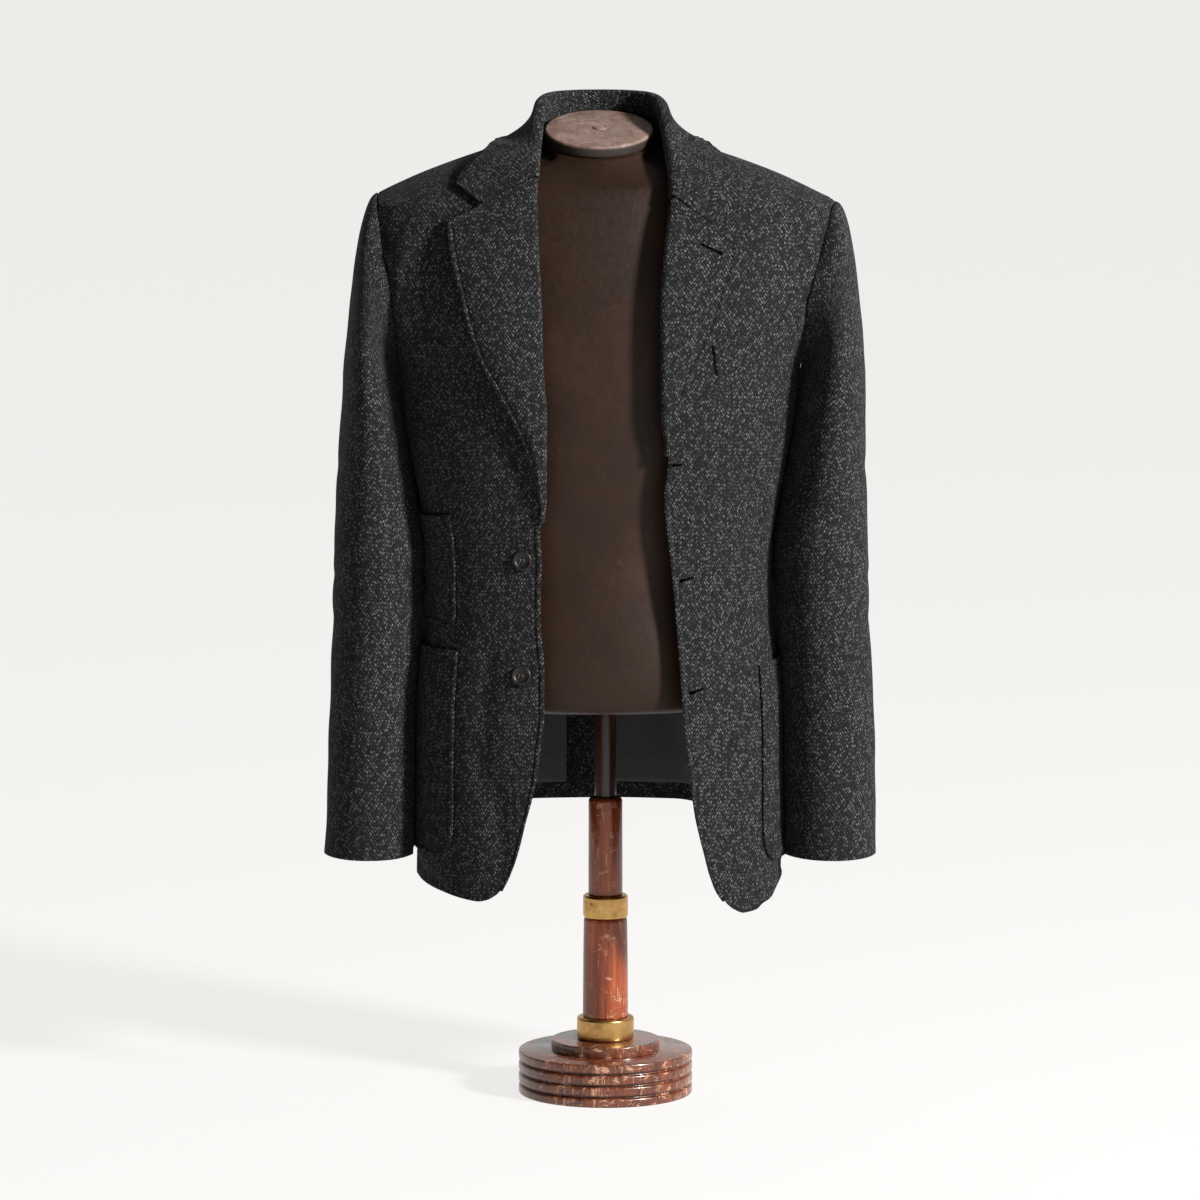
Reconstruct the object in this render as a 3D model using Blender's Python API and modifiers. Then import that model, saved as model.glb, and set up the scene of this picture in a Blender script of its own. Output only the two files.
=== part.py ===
"""Sport coat worn open on a limbless dress form with a turned wooden stand.

Frame: +Z up, the coat faces -Y, the origin is the centre of the stand's underside.
Sizes are in millimetres and are scaled to metres where a mesh is made. Right and left
are the wearer's, so the wearer's right lies at -X.

The coat's body is one ring-shaped form, worked out from BODY_SECTIONS. Fronts, sides,
backs, pockets, lapels and collar are all read from it, moved out by their cloth.
"""
import math

import bpy
from mathutils import Euler, Vector

MM = 0.001
RIGHT = -1                      # the wearer's right side lies at -X
LEFT = 1
SIDE_NAMES = {RIGHT: "right", LEFT: "left"}
FRONT = -1
BACK = 1

# ---------------------------------------------------------------- driving sizes (mm)
COAT_CENTRE_X = -6.0            # the coat hangs a little to one side of the stand
CLOTH = 2.0                     # wool cloth, turned and pressed
LINING = 1.2
INNER_GAP = 2.3                 # between the flat-sided panels and what lines them
SEAM_GAP = 0.4                  # between two pieces that are sewn together
LAID_GAP = 0.95                 # between a panel and what is sewn on it
SQUARENESS = 0.9                # 1 gives oval rings, less gives squarer ones

ARMPIT_Z = 740.0
YOKE_Z = 765.0                  # where the side seams meet the armholes
NECK_POINT = (70.0, 962.0)      # shoulder seam at the neck: x, z
BACK_NECK_Z = 974.0
BACK_HEM_Z = 279.0
VENT_TOP_Z = 490.0
SIDE_SEAM = {RIGHT: (70.0, 115.0), LEFT: (74.0, 115.0)}    # front and back seam angle
TIP_Z = {RIGHT: 908.0, LEFT: 900.0}                        # shoulder tips
BREAK_Z = {RIGHT: 587.0, LEFT: 656.0}                      # where the lapel starts to turn
GORGE_Z = {RIGHT: 928.0, LEFT: 911.0}                      # roll line at the gorge
LAPEL_POINT_Z = {RIGHT: 887.0, LEFT: 868.5}

# Rings of the coat's body: height, half width, depth to the front, depth to the back
BODY_SECTIONS = [
    # z     width  front  back
    (190.0, 184.5, 128.0, 133.0),
    (250.0, 183.5, 128.0, 132.0),
    (300.0, 182.5, 127.0, 130.0),
    (350.0, 182.0, 126.0, 129.0),
    (400.0, 181.0, 125.0, 126.0),
    (450.0, 177.0, 122.0, 118.0),
    (500.0, 172.0, 120.0, 111.0),
    (550.0, 172.5, 120.0, 109.0),
    (600.0, 179.0, 122.0, 112.0),
    (650.0, 188.5, 125.0, 117.0),
    (700.0, 196.0, 127.0, 122.0),
    (740.0, 200.5, 128.0, 125.0),
    (755.0, 205.0, 128.0, 126.0),
    (770.0, 211.5, 127.0, 127.0),
    (796.0, 226.0, 125.0, 128.0),
    (820.0, 235.0, 122.0, 128.0),
    (845.0, 238.5, 118.0, 126.0),
    (875.0, 238.0, 111.0, 121.0),
    (900.0, 233.5, 102.0, 114.0),
    (908.0, 219.5, 98.0, 110.0),
    (918.0, 199.0, 92.0, 105.0),
    (928.0, 176.5, 85.0, 99.0),
    (939.0, 148.0, 76.0, 92.0),
    (950.0, 116.0, 66.0, 84.0),
    (956.0, 96.0, 59.0, 78.0),
    (962.0, 70.0, 52.0, 72.0),
    (968.0, 66.0, 48.0, 69.0),
    (976.0, 63.0, 44.0, 67.0),
    (990.0, 61.0, 40.0, 66.0),
]
# Armhole edge seen from the front: height, x on the right side, x on the left side
ARMHOLE = [
    # z     right  left
    (740.0, 200.5, 200.5),
    (755.0, 201.0, 201.5),
    (776.0, 202.4, 203.0),
    (802.0, 204.3, 204.0),
    (825.0, 206.2, 208.5),
    (848.0, 212.5, 216.5),
    (878.0, 217.0, 225.0),
    (896.0, 219.0, 229.5),
    (900.0, 219.3, 233.5),
    (908.0, 219.5, 233.5),
]
# Front edge and roll line: height, x
FRONT_EDGE = {
    RIGHT: [
        (229.0, 94.7), (245.0, 86.7), (267.0, 79.7), (294.0, 73.1), (318.0, 66.7),
        (337.0, 62.8), (371.0, 58.3), (404.0, 54.8), (445.0, 54.8), (485.0, 58.2),
        (510.0, 58.7), (587.0, 54.6), (617.0, 51.6), (663.0, 51.1), (694.0, 51.0),
        (754.0, 54.7), (814.0, 56.3), (869.0, 59.3), (912.0, 60.4), (928.0, 60.4),
    ],
    LEFT: [
        (217.0, 121.0), (224.0, 115.7), (238.0, 109.6), (261.0, 103.6), (277.0, 99.6),
        (301.0, 94.6), (341.0, 89.5), (375.0, 85.5), (430.0, 81.0), (463.0, 78.5),
        (512.0, 74.5), (562.0, 69.5), (609.0, 64.5), (656.0, 63.6), (669.0, 63.9),
        (694.0, 60.4), (723.0, 59.4), (810.0, 59.3), (855.0, 62.3), (883.0, 65.2),
        (905.0, 68.2), (911.0, 69.5), (926.0, 70.3),
    ],
}
# Hem of the fronts: x, height
FRONT_HEM = {
    RIGHT: [
        (94.7, 229.0), (102.7, 220.6), (112.7, 214.6), (121.2, 212.7), (135.7, 214.0),
        (156.0, 217.7), (173.5, 221.8), (185.0, 227.0),
    ],
    LEFT: [
        (121.0, 217.0), (124.7, 212.3), (134.3, 203.1), (144.4, 198.5), (156.0, 199.5),
        (163.2, 204.5), (171.4, 207.8), (178.7, 219.1), (185.0, 228.5),
    ],
}
SIDE_HEM_Z = {RIGHT: 227.0, LEFT: 229.0}
# Outer edge of the lapels: height, x
LAPEL_EDGE = {
    RIGHT: [
        (587.0, 54.6), (606.0, 56.6), (632.0, 62.4), (655.0, 68.3), (677.0, 76.2),
        (697.0, 85.0), (727.0, 99.7), (756.0, 114.9), (782.0, 124.2), (808.0, 131.5),
        (850.0, 141.9), (887.0, 148.9),
    ],
    LEFT: [
        (656.0, 64.4), (677.6, 67.3), (696.0, 73.7), (718.0, 83.0), (742.0, 91.8),
        (767.0, 104.6), (791.0, 115.4), (815.0, 123.2), (846.0, 132.1), (868.5, 135.1),
    ],
}
# How far the lapel's face stands off the front: share of its height, at its edge
LAPEL_LIFT = {
    RIGHT: [(0.0, 3.4), (0.25, 6.0), (0.55, 12.0), (0.85, 12.0), (1.0, 7.0)],
    LEFT: [(0.0, 3.9), (0.4, 4.0), (0.8, 4.4), (1.0, 3.8)],
}
ROLL_RADIUS = 3.2               # hollow inside the fold of the lapel
BREAK_RADIUS = 0.8              # the same where the lapel starts to turn
EDGE_CLEAR = 1.4                # between the front's own edge and the fold's middle


# ---------------------------------------------------------------- small helpers
def clean_scene():
    """Remove what the file opens with."""
    for thing in list(bpy.data.objects):
        bpy.data.objects.remove(thing, do_unlink=True)


def curve_value(table, key, column=1):
    """Read a table's column at a key, on a smooth curve through its rows."""
    rows = table
    if key <= rows[0][0]:
        return rows[0][column]
    if key >= rows[-1][0]:
        return rows[-1][column]
    place = 0
    while rows[place + 1][0] < key:
        place += 1
    start, end = rows[place], rows[place + 1]
    span = end[0] - start[0]

    def slope(index):
        low = rows[max(index - 1, 0)]
        mid = rows[index]
        high = rows[min(index + 1, len(rows) - 1)]
        before = (mid[column] - low[column]) / max(mid[0] - low[0], 1e-9)
        after = (high[column] - mid[column]) / max(high[0] - mid[0], 1e-9)
        if index == 0:
            return after
        if index == len(rows) - 1:
            return before
        if before * after <= 0:
            return 0.0
        return 2.0 * before * after / (before + after)

    share = (key - start[0]) / span
    rise0 = slope(place) * span
    rise1 = slope(place + 1) * span
    square = share * share
    cube = square * share
    return (
        (2 * cube - 3 * square + 1) * start[column]
        + (cube - 2 * square + share) * rise0
        + (3 * square - 2 * cube) * end[column]
        + (cube - square) * rise1
    )


def mix(low, high, share):
    return low + (high - low) * share


def smooth_step(low, high, value):
    """0 below low, 1 above high, smooth between."""
    share = min(max((value - low) / (high - low), 0.0), 1.0)
    return share * share * (3.0 - 2.0 * share)


# ---------------------------------------------------------------- the coat's body form
def half_width(z):
    return curve_value(BODY_SECTIONS, z, 1)


def depth(z, face):
    return curve_value(BODY_SECTIONS, z, 2 if face == FRONT else 3)


def ring_measure(x, y, z):
    """1 on the coat's surface, less inside and more outside."""
    face = FRONT if y < 0 else BACK
    power = 2.0 / SQUARENESS
    across = (abs(x) / half_width(z)) ** power
    through = (abs(y) / depth(z, face)) ** power
    return (across + through) ** (1.0 / power)


def surface_normal(point):
    """Direction straight out of the coat's surface, from the rings' own rule."""
    step = 0.4
    x, y, z = point
    normal = Vector((
        ring_measure(x + step, y, z) - ring_measure(x - step, y, z),
        ring_measure(x, y + step, z) - ring_measure(x, y - step, z),
        ring_measure(x, y, z + step) - ring_measure(x, y, z - step),
    ))
    return normal.normalized()


# Soft folds: side, start angle and height, end angle and height, half width, rise
FOLDS = [
    (RIGHT, 62.0, 860.0, 64.0, 775.0, 9.0, 3.0),
    (RIGHT, 52.0, 850.0, 56.0, 785.0, 10.0, -3.5),
    (RIGHT, 36.0, 455.0, 38.0, 330.0, 13.0, -2.5),
    (RIGHT, 32.0, 330.0, 30.0, 262.0, 12.0, -3.0),
    (RIGHT, 128.0, 640.0, 145.0, 560.0, 14.0, -3.5),
    (RIGHT, 118.0, 520.0, 150.0, 500.0, 14.0, 3.0),
    (LEFT, 52.0, 875.0, 54.0, 835.0, 9.0, -2.5),
    (LEFT, 44.0, 420.0, 42.0, 300.0, 16.0, -2.0),
    (LEFT, 130.0, 650.0, 146.0, 575.0, 14.0, -3.5),
    (LEFT, 120.0, 515.0, 152.0, 490.0, 14.0, 3.0),
    (LEFT, 158.0, 430.0, 156.0, 300.0, 16.0, 2.5),
    (RIGHT, 150.0, 420.0, 154.0, 300.0, 15.0, 3.0),
]
DEGREE_MM = 3.0                 # one degree of ring is about this long


def fold_rise(side, angle, z):
    """Sum of the soft folds at one place."""
    total = 0.0
    for fold_side, angle0, z0, angle1, z1, width, rise in FOLDS:
        if fold_side != side:
            continue
        along = Vector(((angle1 - angle0) * DEGREE_MM, z1 - z0))
        here = Vector(((angle - angle0) * DEGREE_MM, z - z0))
        share = min(max(here.dot(along) / along.length_squared, 0.0), 1.0)
        distance = (here - along * share).length
        total += rise * math.exp(-(distance / width) ** 2)
    return total


def body_point(side, angle, z, out=0.0):
    """A point on the coat's form: 0 degrees is the front, 180 the back."""
    turn = math.radians(angle)
    face = FRONT if angle < 90.0 else BACK
    x = side * half_width(z) * max(math.sin(turn), 0.0) ** SQUARENESS
    y = face * depth(z, face) * abs(math.cos(turn)) ** SQUARENESS
    point = Vector((x, y, z))
    lift = out + fold_rise(side, angle, z)
    moved = point + surface_normal(point) * lift
    moved.x += COAT_CENTRE_X
    return moved


EDGE_ANGLE = 0.075              # keeps front and back a seam's gap apart at the shoulder
CENTRE_GAP = 0.2                # from the middle to each back


def angle_at(x, z, face):
    """Ring angle of a point seen at x from the front or the back."""
    share = min(abs(x) / half_width(z), 1.0)
    turn = math.degrees(math.asin(share ** (1.0 / SQUARENESS)))
    turn = min(turn, 90.0 - EDGE_ANGLE)
    return turn if face == FRONT else 180.0 - turn


def flat_point(side, x, z, face, out=0.0):
    """A point on the form given by its x and z as seen from the front or the back."""
    return body_point(side, angle_at(x, z, face), z, out)


def ridge_z(x):
    """Height of the shoulder line at x."""
    low, high = NECK_POINT[1], BODY_SECTIONS[18][0]
    for _ in range(40):
        middle = 0.5 * (low + high)
        if half_width(middle) > x:
            high = middle
        else:
            low = middle
    return 0.5 * (low + high)


def armhole_x(side, z):
    return curve_value(ARMHOLE, z, 1 if side == RIGHT else 2)


def armhole_angle(side, z):
    """Angle at which the armhole crosses a ring, in front of the arm."""
    share = min(armhole_x(side, z) / half_width(z), 1.0)
    return math.degrees(math.asin(share ** (1.0 / SQUARENESS)))


def armhole_bottom(side, angle):
    """Height of the armhole's lower edge at an angle."""
    turn = angle if angle < 90.0 else 180.0 - angle
    low, high = ARMPIT_Z, 800.0
    for _ in range(40):
        middle = 0.5 * (low + high)
        if armhole_angle(side, middle) > turn:
            low = middle
        else:
            high = middle
    return low


# ---------------------------------------------------------------- making meshes
def material(name, colour, roughness, metallic=0.0):
    made = bpy.data.materials.new(name)
    made.use_nodes = True
    shader = made.node_tree.nodes["Principled BSDF"]
    shader.inputs["Base Color"].default_value = (*colour, 1.0)
    shader.inputs["Roughness"].default_value = roughness
    shader.inputs["Metallic"].default_value = metallic
    return made


def place(name, mesh, finish, collection):
    """Make an object from a mesh, in the object's own collection."""
    mesh.materials.append(finish)
    thing = bpy.data.objects.new(name, mesh)
    collection.objects.link(thing)
    return thing


def sheet_mesh(name, rows, flip):
    """An open grid of faces through rows of points, in metres."""
    columns = len(rows[0])
    points = [point * MM for row in rows for point in row]
    faces = []
    for row in range(len(rows) - 1):
        for column in range(columns - 1):
            first = row * columns + column
            face = (first, first + 1, first + columns + 1, first + columns)
            faces.append(face[::-1] if flip else face)
    mesh = bpy.data.meshes.new(name)
    mesh.from_pydata(points, [], faces)
    mesh.shade_smooth()
    return mesh


def cloth_wall(name, faces, backs, finish, collection, flip=False):
    """A closed wall of cloth between a grid of face points and a grid of back points."""
    rows, columns = len(faces), len(faces[0])
    points = [point * MM for grid in (faces, backs) for row in grid for point in row]
    behind = rows * columns
    quads = []
    for row in range(rows - 1):
        for column in range(columns - 1):
            first = row * columns + column
            quad = (first, first + 1, first + columns + 1, first + columns)
            quads.append(quad)
            quads.append(tuple(index + behind for index in quad[::-1]))
    rim = list(range(columns))
    rim += [row * columns + columns - 1 for row in range(1, rows)]
    rim += [(rows - 1) * columns + column for column in range(columns - 2, -1, -1)]
    rim += [row * columns for row in range(rows - 2, 0, -1)]
    for place_on_rim, index in enumerate(rim):
        following = rim[(place_on_rim + 1) % len(rim)]
        quads.append((following, index, index + behind, following + behind))
    if flip:
        quads = [quad[::-1] for quad in quads]
    mesh = bpy.data.meshes.new(name)
    mesh.from_pydata(points, [], quads)
    mesh.shade_smooth()
    mesh.set_sharp_from_angle(angle=math.radians(50.0))
    return place(name, mesh, finish, collection)


def turned_cloth(name, rows, finish, collection, flip=False, thick=CLOTH):
    """Cloth that folds over: the grid is its face, Solidify gives it its thickness."""
    thing = place(name, sheet_mesh(name, rows, flip), finish, collection)
    wall = thing.modifiers.new("cloth", "SOLIDIFY")
    wall.thickness = thick * MM
    wall.offset = -1.0
    return thing


def closed_loft(name, rings, finish, collection, flip=False):
    """A closed body through rings of points, with a flat face at each end."""
    count = len(rings[0])
    points = [point * MM for ring in rings for point in ring]
    faces = []
    for row in range(len(rings) - 1):
        for column in range(count):
            first = row * count + column
            following = row * count + (column + 1) % count
            face = (first, following, following + count, first + count)
            faces.append(face[::-1] if flip else face)
    bottom = list(range(count))
    top = list(range((len(rings) - 1) * count, len(rings) * count))
    faces.append(bottom if flip else bottom[::-1])
    faces.append(top[::-1] if flip else top)
    mesh = bpy.data.meshes.new(name)
    mesh.from_pydata(points, [], faces)
    mesh.shade_smooth()
    return place(name, mesh, finish, collection)


def turned(name, profile, finish, collection, steps=24):
    """A turned piece: its profile runs down the outer side and is spun round Z."""
    points = [(radius * MM, 0.0, z * MM) for radius, z in profile]
    edges = [(index, index + 1) for index in range(len(points) - 1)]
    mesh = bpy.data.meshes.new(name)
    mesh.from_pydata(points, edges, [])
    thing = place(name, mesh, finish, collection)
    spin = thing.modifiers.new("turned", "SCREW")
    spin.steps = steps
    spin.render_steps = steps
    spin.use_merge_vertices = True
    spin.merge_threshold = 0.00001
    spin.use_smooth_shade = True
    return thing


# ---------------------------------------------------------------- fronts, sides, backs
LOWER_ROWS = 15
UPPER_ROWS = 9


def lower_share(row):
    """Rows lie closer together near the hem."""
    return (row / LOWER_ROWS) ** 1.15


def upper_share(row):
    """Rows lie closer together near the shoulder line."""
    return math.sin(0.5 * math.pi * row / UPPER_ROWS)


def roll_depth(side, z):
    """Outer radius of the lapel's fold, which grows from the break upwards."""
    grown = smooth_step(BREAK_Z[side], BREAK_Z[side] + 60.0, z)
    return mix(BREAK_RADIUS, ROLL_RADIUS, grown) + CLOTH


def edge_setback(side, z):
    """How far the front's own edge lies behind the fold."""
    reach = min(max((z - BREAK_Z[side] + 34.0) / 30.0, 0.0), 1.0)
    return reach * (roll_depth(side, z) + EDGE_CLEAR)


def front_edge_x(side, z):
    """Front edge, then the panel's edge inside the lapel's fold, then the neckline."""
    gorge = GORGE_Z[side]
    if z <= gorge:
        return curve_value(FRONT_EDGE[side], z) + edge_setback(side, z)
    start = curve_value(FRONT_EDGE[side], gorge) + edge_setback(side, gorge)
    share = (z - gorge) / (NECK_POINT[1] - gorge)
    return mix(start, NECK_POINT[0], share)


def coons(left, right, bottom, top, across, up):
    """Points inside four edges; each edge is a list of (x, z)."""
    rows = []
    for row in range(len(left)):
        points = []
        for column in range(len(bottom)):
            s, t = across[column], up[row]
            point = []
            for axis in (0, 1):
                sides = mix(left[row][axis], right[row][axis], s)
                low = bottom[column][axis] - mix(left[0][axis], right[0][axis], s)
                high = top[column][axis] - mix(left[-1][axis], right[-1][axis], s)
                point.append(sides + (1.0 - t) ** 3 * low + t ** 3 * high)
            points.append(tuple(point))
        rows.append(points)
    return rows


def side_edge(side, face):
    """Side seam and then armhole, as (x, z) points from the hem to the shoulder tip."""
    seam = SIDE_SEAM[side][0 if face == FRONT else 1]
    gap = -0.5 * SEAM_GAP / DEGREE_MM if face == FRONT else 0.5 * SEAM_GAP / DEGREE_MM
    turn = math.radians(seam + gap)
    hem = side_hem_z(side, seam)
    top = armhole_bottom(side, seam)
    points = []
    for row in range(LOWER_ROWS + 1):
        z = mix(hem, top, lower_share(row))
        points.append((half_width(z) * math.sin(turn) ** SQUARENESS, z))
    for row in range(1, UPPER_ROWS + 1):
        z = mix(top, TIP_Z[side], upper_share(row))
        points.append((armhole_x(side, z) - 0.5 * SEAM_GAP, z))
    points[-1] = (half_width(TIP_Z[side]) - 0.5 * SEAM_GAP, TIP_Z[side])
    return points


def side_hem_z(side, angle):
    """Height of the hem round the side and the back."""
    if angle <= 90.0:
        x = half_width(225.0) * math.sin(math.radians(angle)) ** SQUARENESS
        return curve_value(FRONT_HEM[side], x)
    return mix(SIDE_HEM_Z[side], BACK_HEM_Z, smooth_step(92.0, 158.0, angle))


def front_panel(side, out):
    columns = 10
    across = [math.sin(math.radians(66.0 * c / columns)) / math.sin(math.radians(66.0))
              for c in range(columns + 1)]
    hem = FRONT_HEM[side]
    edge = []
    for row in range(LOWER_ROWS + 1):
        z = mix(hem[0][1], YOKE_Z, lower_share(row))
        edge.append((front_edge_x(side, z), z))
    for row in range(1, UPPER_ROWS + 1):
        z = mix(YOKE_Z, NECK_POINT[1], upper_share(row))
        edge.append((front_edge_x(side, z), z))
    seam = side_edge(side, FRONT)
    bottom = []
    top = []
    for share in across:
        x = mix(hem[0][0], seam[0][0], share)
        bottom.append((x, curve_value(hem, x)))
        x = mix(NECK_POINT[0], seam[-1][0], share)
        top.append((x, ridge_z(x)))
    bottom[-1] = seam[0]
    top[-1] = seam[-1]
    up = [index / (len(edge) - 1) for index in range(len(edge))]
    grid = coons(edge, seam, bottom, top, across, up)
    return [[flat_point(side, x, z, FRONT, out) for x, z in row] for row in grid]


def back_panel(side, out):
    neck_columns = 4
    columns = 10
    turns = [68.0 * c / columns for c in range(columns + 1)]
    across = [math.sin(math.radians(t)) / math.sin(math.radians(68.0)) for t in turns]
    middle = []
    for row in range(LOWER_ROWS + 1):
        middle.append((CENTRE_GAP, mix(BACK_HEM_Z, YOKE_Z, lower_share(row))))
    for row in range(1, UPPER_ROWS + 1):
        middle.append((CENTRE_GAP, mix(YOKE_Z, BACK_NECK_Z, upper_share(row))))
    seam = side_edge(side, BACK)
    bottom = []
    top = []
    for column, share in enumerate(across):
        x = mix(middle[0][0], seam[0][0], share)
        angle = angle_at(x, 260.0, BACK)
        bottom.append((x, side_hem_z(side, angle)))
        if column <= neck_columns:
            turn = math.radians(90.0 * column / neck_columns)
            x = max(NECK_POINT[0] * math.sin(turn), CENTRE_GAP)
            top.append((x, mix(NECK_POINT[1], BACK_NECK_Z, math.cos(turn) ** 2)))
        else:
            share = (column - neck_columns) / (columns - neck_columns)
            x = mix(NECK_POINT[0], seam[-1][0], share)
            top.append((x, ridge_z(x)))
    bottom[0] = middle[0]
    bottom[-1] = seam[0]
    top[-1] = seam[-1]
    up = [index / (len(middle) - 1) for index in range(len(middle))]
    grid = coons(middle, seam, bottom, top, across, up)
    return [[flat_point(side, x, z, BACK, out) for x, z in row] for row in grid]


def side_panel(side, out):
    columns = 4
    gap = 0.5 * SEAM_GAP / DEGREE_MM
    first = SIDE_SEAM[side][0] + gap
    last = SIDE_SEAM[side][1] - gap
    rows = []
    for row in range(LOWER_ROWS + 1):
        points = []
        for column in range(columns + 1):
            angle = mix(first, last, column / columns)
            z = mix(side_hem_z(side, angle), armhole_bottom(side, angle), lower_share(row))
            points.append(body_point(side, angle, z, out))
        rows.append(points)
    return rows


# ---------------------------------------------------------------- lapels
LAPEL_ROWS = 13
LEAF_STEPS = 5
FOLD_TURNS = (-72.0, -55.0, -20.0, 35.0, 90.0)


def lapel_rows(side):
    """The lapel's face: round the fold, then out to its edge, row by row upwards."""
    rows = []
    for row in range(LAPEL_ROWS + 1):
        share = mix(0.03, 1.0, row / LAPEL_ROWS)
        roll_z = mix(BREAK_Z[side], GORGE_Z[side], share)
        edge_z = mix(BREAK_Z[side], LAPEL_POINT_Z[side], share)
        outer = roll_depth(side, roll_z)
        inner = outer - CLOTH
        fold_x = curve_value(FRONT_EDGE[side], roll_z)
        centre = fold_x + outer
        edge_x = max(curve_value(LAPEL_EDGE[side], edge_z), centre + 1.5)
        slope = (edge_z - roll_z) / (edge_x - fold_x)
        places = []
        for turn in FOLD_TURNS:
            angle = math.radians(turn)
            places.append((centre - outer * math.cos(angle), inner + outer * math.sin(angle)))
        for step in range(1, LEAF_STEPS + 1):
            across = step / LEAF_STEPS
            edge_lift = curve_value(LAPEL_LIFT[side], share)
            places.append((mix(centre, edge_x, across),
                           mix(inner + outer, edge_lift, across ** 0.8)))
        rows.append([flat_point(side, x, roll_z + (x - fold_x) * slope, FRONT, lift)
                     for x, lift in places])
    return rows


# ---------------------------------------------------------------- collar
# Stations from the gorge to the centre of the back. Visible fold (x, y, z), twist of
# the fold (0 lies flat, 90 stands up), where the outer edge lies on the coat: ring
# height and angle, and how far its face stands off there.
COLLAR_STATIONS = {
    RIGHT: [
        # x     y      z      twist  edge_z  angle  off
        (60.4, -84.5, 929.0, 0.0, 921.0, 44.5, 3.6),
        (60.5, -72.0, 943.5, 12.0, 933.0, 52.0, 3.4),
        (60.3, -52.0, 957.0, 30.0, 944.0, 62.0, 3.2),
        (59.5, -30.0, 977.0, 55.0, 951.0, 75.0, 3.0),
        (58.5, -4.0, 994.0, 76.0, 954.0, 92.0, 3.0),
        (56.5, 20.0, 1001.0, 88.0, 953.0, 112.0, 3.2),
        (47.0, 42.0, 1003.5, 90.0, 952.5, 135.0, 3.6),
        (26.0, 59.0, 1004.0, 90.0, 952.0, 158.0, 4.0),
        (0.0, 64.5, 1004.0, 90.0, 952.0, 180.0, 4.2),
    ],
    LEFT: [
        (69.5, -96.0, 912.0, 0.0, 898.0, 34.5, 3.6),
        (70.0, -84.3, 927.5, 8.0, 914.0, 41.0, 3.4),
        (67.5, -63.0, 949.5, 28.0, 930.0, 51.0, 3.2),
        (65.0, -32.0, 972.0, 52.0, 946.0, 68.0, 3.0),
        (62.5, -5.0, 992.0, 75.0, 954.0, 92.0, 3.0),
        (59.0, 20.0, 1000.5, 88.0, 953.0, 112.0, 3.2),
        (48.0, 42.0, 1003.5, 90.0, 952.5, 135.0, 3.6),
        (26.5, 59.0, 1004.0, 90.0, 952.0, 158.0, 4.0),
        (0.0, 64.5, 1004.0, 90.0, 952.0, 180.0, 4.2),
    ],
}
NOTCH_X = {RIGHT: 114.5, LEFT: 109.0}
GORGE_GAP = 1.2                 # collar above lapel, measured upright
GORGE_TURNS = (-72.0, -58.0, -35.0, 0.0, 40.0, 75.0)
COLLAR_ROLL = 2.6               # hollow inside the collar's fold
COLLAR_CLOTH = 2.2
FOOT_GAP = (2.4, 1.0)           # neck edge to stand: at the gorge, at the back


def neckline(side, station, last):
    """Foot of the collar's stand, just above the fronts' and the backs' neck edges."""
    share = station / last
    if share <= 0.5:
        part = share / 0.5
        gorge = GORGE_Z[side]
        start = front_edge_x(side, gorge)
        z = mix(gorge, NECK_POINT[1], part)
        x = mix(start, NECK_POINT[0], part)
        return flat_point(side, x, z, FRONT, -CLOTH)
    turn = math.radians(180.0 * (1.0 - share))
    x = NECK_POINT[0] * math.sin(turn)
    z = mix(NECK_POINT[1], BACK_NECK_Z, math.cos(turn) ** 2)
    return flat_point(side, x, z, BACK, -CLOTH)


def clear_of_coat(point, least):
    """Move a point out until it stands off the coat's form by at least this much."""
    moved = point.copy()
    moved.x -= COAT_CENTRE_X
    if moved.z > 985.0:
        return point
    for _ in range(3):
        step = 0.4
        x, y, z = moved
        rise = Vector((
            ring_measure(x + step, y, z) - ring_measure(x - step, y, z),
            ring_measure(x, y + step, z) - ring_measure(x, y - step, z),
            ring_measure(x, y, z + step) - ring_measure(x, y, z - step),
        )) / (2.0 * step)
        distance = (ring_measure(x, y, z) - 1.0) / max(rise.length, 1e-6)
        if distance >= least:
            break
        moved += rise.normalized() * (least - distance)
    moved.x += COAT_CENTRE_X
    return moved


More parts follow.
